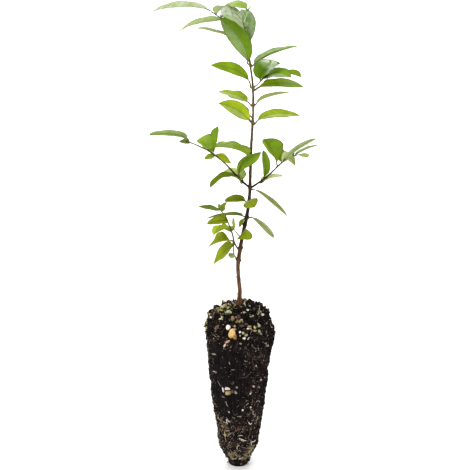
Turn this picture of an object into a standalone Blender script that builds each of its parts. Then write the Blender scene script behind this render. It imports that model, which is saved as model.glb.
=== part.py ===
"""Strawberry guava seedling standing on its bare root ball, as it is lifted out of a deep tray cell.

Metres, +Z up. The origin is the centre of the root ball's flat underside, and -Y is the front.
A direction is given as a heading in degrees, turning from +X towards +Y, and a rise above level.
"""

import math
import random

import bmesh
import bpy
from mathutils import Vector

MM = 0.001
GAP = 0.3 * MM
SEED = 11

# Root ball: radius and height from its flat underside up to the rim, over the mound, to the stem's seat
BALL_OUTLINE = [
    (8.2, 0.0), (10.2, 6.0), (12.7, 12.5), (14.4, 19.0), (15.6, 29.0), (17.0, 41.0), (18.9, 53.0),
    (20.6, 70.0), (22.0, 88.0), (23.4, 97.0), (24.2, 104.0), (23.8, 110.0), (21.2, 115.5), (16.0, 119.5),
    (9.5, 121.8), (4.0, 122.6),
]
BALL_SIDES = 28
BALL_RIBS = 7
BALL_RIB_DEPTH = 0.35 * MM
MOUND_FOOT = 108 * MM
SHOULDER_SLUMP = 2.6 * MM

# Trunk: a route from the flat cut at the soil to the growing tip, and its radius along it
TRUNK_ROUTE = [
    (0.5, 7, 123), (0.5, 7, 126), (-0.3, 6, 150), (0.1, 5.5, 158), (2.5, 5, 174), (5.5, 4, 189),
    (7.3, 3, 203.5), (7.8, 2, 221), (8.3, 1, 239.5), (9.4, 0, 262), (9.2, 0, 277), (8.8, 1, 283),
    (7.7, 3, 291), (6.1, 5, 302), (3.5, 6.5, 317),
]
TRUNK_RADIUS_LOW = 1.42 * MM
TRUNK_RADIUS_HIGH = 0.5 * MM
FLARE_RADIUS = 0.7 * MM
FLARE_HEIGHT = 4.5 * MM
NODE_SWELLING = 0.14 * MM
NODE_REACH = 2.2 * MM
TRUNK_NODES = [157, 166, 183, 189, 200, 210, 232, 255.5, 267.5, 278.5, 293]

# Boughs: each leaves the trunk and tapers to the mass of leaves that it carries
BOUGHS = {
    "bough_left": [(7.6, 2.5, 210), (1.8, -1, 216.2), (-0.2, -2.2, 218.5), (-8.4, -7, 229.2), (-13.8, -10, 235)],
    "bough_right": [(7.6, 2.6, 209.6), (15.1, 6, 213.8), (20, 9, 216.8), (25.4, 11.7, 221.2)],
}
BOUGH_RADIUS = (0.85 * MM, 0.6 * MM)

# Leaves that stand alone on a limb:
# limb, height on it, heading, rise, length, width, bend along its length, roll about its own line
LONE_LEAVES = {
    "leaf_top_front": ("trunk", 294.5, 198, 60.5, 36.5, 15.5, 30, -98),
    "leaf_top_right": ("trunk", 292.5, 10, 20, 33, 14, 42, 4),
    "leaf_top_back": ("trunk", 307.5, 182, 17, 31.5, 7, 9, 1),
    "leaf_tip_right": ("trunk", 303, 85, 70, 24, 12, 20, 5),
    "leaf_upper_left": ("trunk", 279.5, 200, 30, 33.5, 10, 84, -38),
    "leaf_upper_right": ("trunk", 277.5, 20, -2, 36.5, 11, 46, 20),
    "leaf_upper_back": ("trunk", 277, 128, 6, 23, 10.5, 45, 0),
    "leaf_third_left": ("trunk", 267, 155, 16, 25.5, 11.5, 38, -10),
    "leaf_third_right": ("trunk", 268, 335, 22, 28, 10, 40, -13),
    "leaf_third_back": ("trunk", 259, 138, 2, 23, 11, 40, 5),
    "leaf_fourth_left": ("trunk", 256.5, 200, 32, 27, 11.5, 45, -53),
    "leaf_fourth_right": ("trunk", 254.5, 25, 3, 36, 12, 52, 16),
    "leaf_fourth_back": ("trunk", 252.5, 64, -2, 22, 10, 45, 0),
    "leaf_middle_left": ("trunk", 233.5, 195, 16, 27.5, 10, 66, -19),
    "leaf_middle_back": ("trunk", 226.5, 88, -10, 23, 11, 35, 0),
    "leaf_drooping": ("trunk", 209.3, 345, -33, 31.5, 8, 26, -3),
    "leaf_low_left": ("trunk", 200, 180, 2, 15.5, 8, 53, -21),
    "leaf_low_front": ("trunk", 199.5, 285, 8, 13, 11, 30, 12),
    "leaf_level_left": ("trunk", 189, 160, -11, 29, 11, 35, 9),
    "leaf_level_right": ("trunk", 188.5, 340, -34, 24, 8.5, 57, 2),
    "leaf_front": ("trunk", 180.5, 275, -29, 12.5, 11.5, 100, 2),
    "leaf_low_back": ("trunk", 175.5, 88, -22, 16, 9, 30, 0),
    "leaf_bough_up": ("bough_left", 218.5, 340, 45, 25, 10.5, 82, 53),
    "leaf_bough_low": ("bough_left", 218, 195, -11, 22, 11.5, 92, -2),
    "leaf_bough_back": ("bough_left", 218.8, 150, 25, 13, 9, 40, -4),
    "leaf_bough_right_up": ("bough_right", 215.3, 120, 82, 19.5, 10, 25, 20),
    "leaf_bough_right_low": ("bough_right", 213, 330, 23, 16.5, 9, 30, 8),
}

# Masses: a stem that starts clear of its limb, and the leaves fused on it, each placed by the share
# of the stem below it, then heading, rise, length, width, bend and roll as above
MASSES = {
    "leaves_left": {
        "limb": "bough_left",
        "route": [(-13.8, -10, 235), (-19.9, -12, 240), (-24.8, -14, 243), (-29, -15, 245.3), (-33.3, -16, 247)],
        "radius": (0.6, 0.4),
        "leaves": [
            (0.05, 215, 20, 9.5, 6, 30, -14),
            (0.08, 320, -15, 15, 6, 54, 14),
            (0.12, 60, 75, 20, 9.5, 37, -32),
            (0.14, 165, 45, 16, 11.5, 49, -17),
            (0.3, 95, 30, 17, 8, 50, 0),
            (0.88, 190, 14, 7, 4, 20, -16),
            (1.0, 170, 10, 25, 10.5, 51, -6),
        ],
    },
    "leaves_right": {
        "limb": "bough_right",
        "route": [(25.4, 11.7, 221.2), (26.1, 12, 222), (30.9, 14, 225.4), (37.9, 17, 228)],
        "radius": (0.6, 0.4),
        "leaves": [
            (0.05, 165, 63, 23.5, 15.5, 67, -19),
            (0.3, 105, 20, 21, 10, 40, 0),
            (0.38, 60, 51, 9, 7, 20, -26),
            (0.40, 20, 29, 29, 8, 40, 5),
            (0.42, 325, 2, 10, 7.5, 122, 10),
            (1.0, 30, 16, 20, 9, 25, -14),
            (1.0, 340, 11, 11, 7, 40, 10),
        ],
    },
    "leaves_upper_right": {
        "limb": "trunk",
        "route": [(9.1, 0.2, 278.4), (12.7, -3, 282.4), (17.4, -6, 287.8)],
        "radius": (0.6, 0.4),
        "leaves": [
            (0.5, 330, 42, 20.5, 17.5, 62, 50),
            (0.6, 345, 13, 22.5, 14, 51, 17),
            (0.7, 75, 12, 24, 11, 50, 0),
            (1.0, 15, -2, 25, 12, 38, -26),
        ],
    },
    "leaves_lower_left": {
        "limb": "trunk",
        "route": [
            (0.1, 5.2, 164.5), (-2.9, 3, 170.5), (-4.3, 1, 177.9), (-7.3, -2, 187.5), (-9, -4, 192.6),
            (-13.1, -8, 198.6),
        ],
        "radius": (0.75, 0.4),
        "leaves": [
            (0.15, 200, 0, 20, 10.5, 128, -7),
            (0.35, 120, -5, 16, 9, 60, 0),
            (0.48, 210, -12, 14.5, 12.5, 75, 7),
            (0.64, 195, -4, 12.5, 7.5, 31, -18),
            (0.9, 30, 53, 8.5, 6, 30, 10),
            (1.0, 175, 2, 14, 7.5, 4, 0),
        ],
    },
    "leaves_lowest": {
        "limb": "trunk",
        "route": [(0.3, 5.6, 156.5), (-2.5, 4, 160.1), (-3.3, 2.7, 163), (-3.6, 2.4, 168.4)],
        "radius": (0.65, 0.45),
        "leaves": [
            (0.4, 190, -31, 5.5, 6, 40, -6),
            (1.0, 195, -42, 18.5, 11, 26, -22),
        ],
    },
    "leaves_spur": {
        "limb": "trunk",
        "route": [(1, 4.6, 174.5), (-0.1, 2, 176.5), (-1.8, -2, 180.2), (-3.2, -5, 183.3)],
        "radius": (0.5, 0.35),
        "leaves": [(1.0, 240, 84, 8.5, 3.5, -40, -30)],
    },
    "leaves_top_left": {
        "limb": "trunk",
        "route": [(4.5, 5.7, 309), (0, 4.8, 313.6), (-4.4, 6, 318), (-12.8, 10.5, 322.9), (-18.7, 15, 326.2)],
        "radius": (0.55, 0.4),
        "leaves": [
            (0.7, 125, 8, 25, 11, 50, 0),
            (0.62, 200, -10, 30, 12.5, 38, 0),
            (0.82, 40, 45, 8, 7, 30, 0),
            (1.0, 175, -1, 38, 10.5, 53, -12),
        ],
    },
    "leaves_tip": {
        "limb": "trunk",
        "route": [(3.5, 6.5, 317), (3.3, 6.6, 319.5), (5.5, 7, 327.5)],
        "radius": (0.5, 0.4),
        "leaves": [
            (0.05, 205, 38, 21.5, 13, 61, -44),
            (1.0, 190, 15, 12.5, 11.5, 48, -8),
        ],
    },
}

# Leaf blade: stations along the blade, how soon along it the bend comes, and the least thickness
PETIOLE_SHARE = 0.12
PETIOLE_HALF = 0.4 * MM
BLADE_STATIONS = (0.06, 0.2, 0.42, 0.66, 0.87)
BEND_POWER = 0.5
TIP_HALF_WIDTH = 0.3 * MM
LEAF_THICKNESS = 0.42 * MM
FOLD_MEAN = 14
FOLD_SPREAD = 6

COLOURS = {
    "soil": ((0.018, 0.012, 0.009), 0.95),
    "bark": ((0.12, 0.065, 0.035), 0.75),
    "leaf": ((0.16, 0.33, 0.035), 0.45),
}


def clear_scene():
    for leftover in list(bpy.data.objects):
        bpy.data.objects.remove(leftover, do_unlink=True)


def new_collection(name):
    collection = bpy.data.collections.new(name)
    bpy.context.scene.collection.children.link(collection)
    return collection


def material(name, finish):
    colour, roughness = COLOURS[finish]
    made = bpy.data.materials.new(name)
    made.use_nodes = True
    shader = made.node_tree.nodes["Principled BSDF"]
    shader.inputs["Base Color"].default_value = (*colour, 1.0)
    shader.inputs["Roughness"].default_value = roughness
    shader.inputs["Metallic"].default_value = 0.0
    return made


def mesh_of(source):
    """The mesh that an object evaluates to, with doubled points merged."""
    graph = bpy.context.evaluated_depsgraph_get()
    mesh = bpy.data.meshes.new_from_object(source.evaluated_get(graph))
    work = bmesh.new()
    work.from_mesh(mesh)
    bmesh.ops.remove_doubles(work, verts=work.verts, dist=0.00001)
    work.to_mesh(mesh)
    work.free()
    return mesh


def finished(name, mesh, finish, collection):
    """A node's own object, with a material of its own."""
    mesh.materials.clear()
    mesh.materials.append(material(name, finish))
    made = bpy.data.objects.new(name, mesh)
    collection.objects.link(made)
    return made


def smooth_route(points, step):
    """Points at an even step along a smooth curve through a route given in millimetres."""
    corners = [Vector(point) * MM for point in points]
    first = corners[0] * 2 - corners[1]
    last = corners[-1] * 2 - corners[-2]
    held = [first, *corners, last]
    fine = []
    for a, b, c, d in zip(held, held[1:], held[2:], held[3:]):
        for i in range(20):
            t = i / 20
            fine.append(
                b + (c - a) * (t / 2)
                + (a * 2 - b * 5 + c * 4 - d) * (t * t / 2)
                + (b * 3 - a - c * 3 + d) * (t * t * t / 2)
            )
    fine.append(corners[-1])
    lengths = [0.0]
    for a, b in zip(fine, fine[1:]):
        lengths.append(lengths[-1] + (b - a).length)
    count = max(2, round(lengths[-1] / step) + 1)
    even = []
    at = 0
    for i in range(count):
        target = lengths[-1] * i / (count - 1)
        while at < len(fine) - 2 and lengths[at + 1] < target:
            at += 1
        share = (target - lengths[at]) / (lengths[at + 1] - lengths[at])
        even.append(fine[at].lerp(fine[at + 1], share))
    return even


def limb_mesh(name, line, radii, resolution):
    """A tapering limb as a curve with a bevel and filled caps, made a mesh."""
    data = bpy.data.curves.new(name, "CURVE")
    data.dimensions = "3D"
    data.bevel_depth = 1.0
    data.bevel_resolution = resolution
    data.use_fill_caps = True
    spline = data.splines.new("POLY")
    spline.points.add(len(line) - 1)
    for place, point, radius in zip(spline.points, line, radii):
        place.co = (*point, 1.0)
        place.radius = radius
    guide = bpy.data.objects.new(name, data)
    bpy.context.scene.collection.objects.link(guide)
    mesh = mesh_of(guide)
    bpy.data.objects.remove(guide)
    bpy.data.curves.remove(data)
    return mesh


def tapered(line, start, end):
    """Radii that narrow evenly from the start of a line to its end."""
    return [start + (end - start) * i / (len(line) - 1) for i in range(len(line))]


def trunk_radius(height):
    """Taper from foot to tip, with the root flare and a swelling at each node."""
    foot = TRUNK_ROUTE[0][2] * MM
    share = (height - foot) / (TRUNK_ROUTE[-1][2] * MM - foot)
    radius = TRUNK_RADIUS_LOW + (TRUNK_RADIUS_HIGH - TRUNK_RADIUS_LOW) * share
    radius += FLARE_RADIUS * math.exp(-(height - foot) / FLARE_HEIGHT)
    nearest = min(abs(height - node * MM) for node in TRUNK_NODES)
    return radius + NODE_SWELLING * math.exp(-((nearest / NODE_REACH) ** 2))


def point_at_height(line, height):
    """The point of a rising line at a height."""
    for below, above in zip(line, line[1:]):
        if below.z <= height <= above.z:
            return below.lerp(above, (height - below.z) / (above.z - below.z))
    return line[-1]


def point_at_share(line, share):
    """The point that has a share of the line below it."""
    place = share * (len(line) - 1)
    low = min(int(place), len(line) - 2)
    return line[low].lerp(line[low + 1], place - low)


def direction(heading, rise):
    return Vector((math.cos(rise) * math.cos(heading), math.cos(rise) * math.sin(heading), math.sin(rise)))


def blade_half_width(share):
    """Half width of the blade at a share of its length, as a share of the widest half."""
    return math.sin(math.pi * share**0.8) ** 0.68


def bend_share(share):
    """How far the blade's pitch at a share of its length is above its mean, as a share of the whole bend."""
    return 1 / (1 + BEND_POWER) - share**BEND_POWER


def leaf_mesh(name, base, shape, rng):
    """A petiole and blade as a loft: six-cornered sections along an arc that bends in its upright plane."""
    heading, rise, length, width, bend, roll = shape
    heading, rise, bend, roll = (math.radians(angle) for angle in (heading, rise, bend, roll))
    length, width = length * MM, width * MM
    fold = math.radians(FOLD_MEAN + rng.uniform(-FOLD_SPREAD, FOLD_SPREAD))
    thickness = max(LEAF_THICKNESS, length / 90)
    stations = [(0.0, PETIOLE_HALF, PETIOLE_HALF, 0.0), (PETIOLE_SHARE, PETIOLE_HALF, PETIOLE_HALF, 0.0)]
    for share in BLADE_STATIONS:
        along = PETIOLE_SHARE + (1 - PETIOLE_SHARE) * share
        stations.append((along, blade_half_width(share) * width / 2, thickness / 2, fold))
    stations.append((1.0, TIP_HALF_WIDTH, thickness / 2, 0.0))
    work = bmesh.new()
    rings = []
    place = Vector(base)
    reached = 0.0
    flat_side = Vector((math.sin(heading), -math.cos(heading), 0))
    for along, half, rise_half, lift in stations:
        while reached < along - 1e-6:
            step = min(0.02, along - reached)
            pitch = rise + bend * bend_share(reached + step / 2)
            place = place + direction(heading, pitch) * length * step
            reached += step
        pitch = rise + bend * bend_share(along)
        flat_up = direction(heading, pitch + math.pi / 2)
        up = flat_up * math.cos(roll) + flat_side * math.sin(roll)
        side = flat_side * math.cos(roll) - flat_up * math.sin(roll)
        out = side * half * math.cos(lift)
        raised = up * half * math.sin(lift)
        thick = up * rise_half
        corners = (out + raised + thick, thick, raised - out + thick)
        corners += (raised - out - thick, -thick, out + raised - thick)
        rings.append([work.verts.new(place + corner) for corner in corners])
    for near, far in zip(rings, rings[1:]):
        for i in range(6):
            j = (i + 1) % 6
            work.faces.new((near[i], near[j], far[j], far[i]))
    work.faces.new(rings[0])
    work.faces.new(reversed(rings[-1]))
    bmesh.ops.recalc_face_normals(work, faces=work.faces)
    mesh = bpy.data.meshes.new(name)
    work.to_mesh(mesh)
    work.free()
    return mesh


def union(mesh, meshes, name):
    """One closed body from a stem and its leaves."""
    stem = bpy.data.objects.new(name, mesh)
    bpy.context.scene.collection.objects.link(stem)
    added = new_collection(name + "_added")
    for i, piece in enumerate(meshes):
        added.objects.link(bpy.data.objects.new(f"{name}_{i}", piece))
    joining = stem.modifiers.new("joining", "BOOLEAN")
    joining.operation = "UNION"
    joining.operand_type = "COLLECTION"
    joining.collection = added
    joining.solver = "EXACT"
    fused = mesh_of(stem)
    for piece in list(added.objects):
        bpy.data.objects.remove(piece)
    bpy.data.collections.remove(added)
    bpy.data.objects.remove(stem)
    return fused


def make_root_ball(collection):
    """The turned plug, then its rib marks, its mound leaning to the stem's foot, and the slumped front."""
    data = bpy.data.meshes.new("root_ball")
    work = bmesh.new()
    outline = [(0, BALL_OUTLINE[-1][1]), *reversed(BALL_OUTLINE), (0, 0)]
    points = [work.verts.new((radius * MM, 0, height * MM)) for radius, height in outline]
    for a, b in zip(points, points[1:]):
        work.edges.new((a, b))
    work.to_mesh(data)
    work.free()
    guide = bpy.data.objects.new("root_ball_outline", data)
    bpy.context.scene.collection.objects.link(guide)
    turn = guide.modifiers.new("turn", "SCREW")
    turn.steps = turn.render_steps = BALL_SIDES
    turn.use_merge_vertices = True
    turn.merge_threshold = 0.00001
    mesh = mesh_of(guide)
    bpy.data.objects.remove(guide)
    seat = Vector(TRUNK_ROUTE[0]) * MM
    top = BALL_OUTLINE[-1][1] * MM
    for vertex in mesh.vertices:
        radius = math.hypot(vertex.co.x, vertex.co.y)
        heading = math.atan2(vertex.co.y, vertex.co.x)
        height = vertex.co.z
        if radius < 1e-6:
            ribbed = 0.0
        else:
            ribbed = BALL_RIB_DEPTH * math.cos(BALL_RIBS * heading) * min(1.0, height / (20 * MM))
        if height > MOUND_FOOT:
            ribbed *= (top - height) / (top - MOUND_FOOT)
            share = (height - MOUND_FOOT) / (top - MOUND_FOOT)
            vertex.co.x += seat.x * share
            vertex.co.y += seat.y * share
            front = max(0.0, -math.sin(heading))
            vertex.co.z -= SHOULDER_SLUMP * front * math.sin(math.pi * share)
        vertex.co.x += ribbed * math.cos(heading)
        vertex.co.y += ribbed * math.sin(heading)
    mesh.shade_smooth()
    return finished("root_ball", mesh, "soil", collection)


def make_trunk(collection):
    line = smooth_route(TRUNK_ROUTE, 5 * MM)
    mesh = limb_mesh("trunk", line, [trunk_radius(point.z) for point in line], 2)
    mesh.shade_smooth()
    finished("trunk", mesh, "bark", collection)
    return line


def distance_to(line, point):
    """Distance from a point to the nearest place on a line."""
    found = []
    for a, b in zip(line, line[1:]):
        share = (point - a).dot(b - a) / (b - a).length_squared
        found.append((point - a.lerp(b, min(1.0, max(0.0, share)))).length)
    return min(found)


def clear_of(line, limb, limb_radius, own_radius):
    """A line cut at its start so that its end face stays clear of the limb that it leaves.

    One that carries on from the limb's tip needs only the gap in line with it.
    """
    carries_on = (line[0] - limb[-1]).length < 0.01 * MM
    clear = 1.3 * GAP if carries_on else limb_radius + own_radius + 1.1 * GAP
    share = 0.0
    while distance_to(limb, point_at_share(line, share)) < clear:
        share += 0.002
    start = point_at_share(line, share)
    rest = line[math.ceil(share * (len(line) - 1)):]
    return [start, *[point for point in rest if (point - start).length > own_radius]]


def make_boughs(collection, lines):
    for name, route in BOUGHS.items():
        line = smooth_route(route, 3.2 * MM)
        line = clear_of(line, lines["trunk"], trunk_radius(line[0].z), BOUGH_RADIUS[0])
        mesh = limb_mesh(name, line, tapered(line, *BOUGH_RADIUS), 1)
        mesh.shade_smooth()
        finished(name, mesh, "bark", collection)
        lines[name] = line


def make_lone_leaves(collection, lines, rng):
    for name, (limb, height, *shape) in LONE_LEAVES.items():
        line = lines[limb]
        limb_radius = trunk_radius(height * MM) if limb == "trunk" else BOUGH_RADIUS[0]
        clear = limb_radius + PETIOLE_HALF * math.sqrt(2) + GAP
        base = point_at_height(line, height * MM)
        outward = direction(math.radians(shape[0]), 0)
        while distance_to(line, base) < clear:
            base = base + outward * 0.05 * MM
        finished(name, leaf_mesh(name, base, shape, rng), "leaf", collection)


def make_masses(collection, lines, rng):
    for name, mass in MASSES.items():
        line = smooth_route(mass["route"], 3 * MM)
        start, end = (radius * MM for radius in mass["radius"])
        line = clear_of(line, lines[mass["limb"]], trunk_radius(line[0].z), start)
        stem = limb_mesh(name, line, tapered(line, start, end), 0)
        blades = []
        for i, (share, *shape) in enumerate(mass["leaves"]):
            base = point_at_share(line, share)
            blades.append(leaf_mesh(f"{name}_{i}", base, shape, rng))
        finished(name, union(stem, blades, name), "leaf", collection)


def main():
    clear_scene()
    rng = random.Random(SEED)
    collection = new_collection("strawberry_guava_seedling")
    make_root_ball(collection)
    lines = {"trunk": make_trunk(collection)}
    make_boughs(collection, lines)
    make_lone_leaves(collection, lines, rng)
    make_masses(collection, lines, rng)


main()
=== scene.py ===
# The looks of a strawberry guava seedling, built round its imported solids.
# Metres with +Z up: the root ball stands on the floor at z = 0, and -Y is the front.
# The tables are in millimetres and degrees, and a heading turns from +X towards +Y.

import math
import random

import bpy
import numpy as np
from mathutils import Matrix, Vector


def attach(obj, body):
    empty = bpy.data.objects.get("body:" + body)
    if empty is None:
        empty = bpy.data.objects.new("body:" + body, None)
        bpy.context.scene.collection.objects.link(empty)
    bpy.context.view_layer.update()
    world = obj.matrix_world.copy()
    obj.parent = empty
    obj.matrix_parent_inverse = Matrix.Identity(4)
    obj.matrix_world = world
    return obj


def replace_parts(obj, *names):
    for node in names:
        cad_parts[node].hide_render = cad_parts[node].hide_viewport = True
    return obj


mm = 0.001
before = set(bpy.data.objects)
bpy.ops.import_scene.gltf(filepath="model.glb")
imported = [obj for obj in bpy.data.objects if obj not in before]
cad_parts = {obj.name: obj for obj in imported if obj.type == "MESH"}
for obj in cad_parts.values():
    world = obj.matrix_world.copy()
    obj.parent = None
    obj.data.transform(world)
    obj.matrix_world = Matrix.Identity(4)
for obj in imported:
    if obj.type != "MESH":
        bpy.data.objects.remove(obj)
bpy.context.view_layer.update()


# Limbs: route from foot to tip, and the radius at each end
limbs = {
    "trunk": {
        "route": [
            (0.5, 7, 123), (0.5, 7, 126), (0.9, 6.7, 133), (0.3, 6.4, 140), (-0.4, 6, 150), (0.1, 5.5, 158), (2.5, 5, 174), (5.5, 4, 189),
            (7.3, 3, 203.5), (7.8, 2, 221), (8.3, 1, 239.5), (9.4, 0, 262), (9.2, 0, 277), (8.8, 1, 283),
            (7.7, 3, 291), (6.1, 5, 302), (3.5, 6.5, 317),
        ],
        "radius": (1.42, 0.5),
    },
    "bough_left": {
        "route": [(7.6, 2.5, 210), (1.8, -1, 216.2), (-0.2, -2.2, 218.5), (-8.4, -7, 229.2), (-13.8, -10, 235)],
        "radius": (0.85, 0.6),
    },
    "bough_right": {
        "route": [(7.6, 2.6, 209.6), (15.1, 6, 213.8), (20, 9, 216.8), (25.4, 11.7, 221.2)],
        "radius": (0.85, 0.6),
    },
}

# A leaf's row ends: heading, rise, length, width, bend, roll, sweep, the bend's power, the widest place's power,
# fullness, the folds of its right and left halves, its stalk's share of it, and its colour. Leaves on a limb start with the limb and a height.
loneLeaves = {
    "leaf_top_front": ("trunk", 294.5, 193, 58, 36.1, 13, 79, -92, 32, 0.35, 1.08, 0.6, 5, 10, 0.02, "glossLeft"),
    "leaf_top_right": ("trunk", 292.5, 18, 19, 34, 13.4, 49, -2, 13, 0.35, 0.66, 0.65, 23, 18, 0.02, "freshLeft"),
    "leaf_top_back": ("trunk", 307.5, 197, 18, 33.8, 10.1, 15, -9, 44, 1.5, 0.96, 0.45, 4, 4, 0.05, "pale"),
    "leaf_tip_right": ("trunk", 303, 96, 41, 34, 12.2, 53, 6, 19, 0.87, 0.92, 0.57, 30, 30, 0.11, "flecked"),
    "leaf_upper_left": ("trunk", 279.5, 195, 30, 33.6, 8.5, 118, -46, -50, 0.35, 0.89, 0.77, 24, 5, 0.13, "fresh"),
    "leaf_upper_right": ("trunk", 277.5, 22, -2, 36.3, 7.2, 75, 39, 7, 0.35, 1.03, 0.7, 4, 15, 0.06, "midEnd"),
    "leaf_upper_back": ("trunk", 277, 36, 8, 23, 9, 35, 10, 0, 0.5, 0.8, 0.68, 14, 14, 0.32, "mid"),
    "leaf_third_left": ("trunk", 267, 151, 15, 26.3, 11.8, 59, -10, 14, 0.35, 0.81, 0.73, 4, 4, 0.13, "lemon"),
    "leaf_third_right": ("trunk", 268, 341, 22, 26.1, 7.5, 59, -15, 40, 0.35, 1.02, 0.73, 31, 31, 0.02, "ash"),
    "leaf_third_back": ("trunk", 259, 128, 9, 20, 10, 40, 5, 0, 0.5, 0.8, 0.68, 14, 14, 0.25, "fresh"),
    "leaf_fourth_left": ("trunk", 256.5, 194, 32, 25.9, 11.1, 44, -65, 8, 0.86, 0.91, 0.81, 33, 22, 0.02, "limeLeft"),
    "leaf_fourth_right": ("trunk", 254.5, 26, 3, 36.7, 11.6, 54, 17, -70, 0.35, 1.1, 0.85, 4, 4, 0.09, "limeRight"),
    "leaf_fourth_back": ("trunk", 256.3, 135, 30, 20, 8.5, 35, 0, 0, 0.5, 0.8, 0.68, 14, 14, 0.3, "fresh"),
    "leaf_middle_left": ("trunk", 232.5, 197, 19, 25.2, 15.3, 67, 8, 13, 0.35, 0.6, 0.45, 36, 36, 0.02, "limeEnd"),
    "leaf_middle_back": ("trunk", 226.5, 88, -10, 23, 11, 35, 0, 0, 0.5, 0.8, 0.68, 14, 14, 0.06, "mid"),
    "leaf_drooping": ("trunk", 209.3, 319, -21, 34, 5, 72, 4, 22, 0.35, 1.35, 0.55, 9, 4, 0.03, "khaki"),
    "leaf_low_left": ("trunk", 200, 198, 8, 16.5, 6.3, 96, -37, -41, 0.36, 0.87, 0.52, 34, 17, 0.07, "olive"),
    "leaf_low_front": ("trunk", 199.5, 278, 11, 22.2, 10.6, 96, 28, 41, 0.35, 1.63, 0.73, 4, 4, 0.13, "olive"),
    "leaf_level_left": ("trunk", 189, 154, -12, 30, 7.7, 26, 0, 24, 0.35, 0.75, 0.55, 20, 23, 0.02, "shade"),
    "leaf_level_right": ("trunk", 188.5, 317, -19, 26.8, 4.1, 113, 41, 33, 0.35, 1.57, 0.45, 4, 39, 0.15, "ash"),
    "leaf_front": ("trunk", 180.5, 286, -42, 9.2, 12.4, 91, 50, 70, 0.94, 1.9, 0.55, 4, 23, 0.1, "olive"),
    "leaf_low_back": ("trunk", 175.5, 76, -22, 13, 7, 30, 0, 0, 0.5, 0.8, 0.68, 14, 14, 0.3, "young"),
    "leaf_bough_up": ("bough_left", 218.5, 321, 51, 31, 11.8, 131, 123, -4, 0.38, 1.31, 0.59, 29, 50, 0.09, "mid"),
    "leaf_bough_low": ("bough_left", 214.7, 207, 1, 26.8, 8.4, 130, -11, 35, 0.5, 0.6, 0.45, 20, 26, 0.02, "moss"),
    "leaf_bough_back": ("bough_left", 214, 128, 8, 23, 11.2, 86, -10, 66, 0.35, 1.12, 0.45, 4, 4, 0.12, "limePale"),
    "leaf_bough_right_up": ("bough_right", 215.3, 123, 84, 19.5, 7.1, 62, 9, -27, 0.82, 0.75, 0.51, 26, 15, 0.06, "mid"),
    "leaf_bough_right_low": ("bough_right", 213, 356, 18, 14.7, 12.2, 21, -3, -70, 0.35, 0.68, 0.45, 19, 12, 0.02, "chalk"),
}

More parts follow.
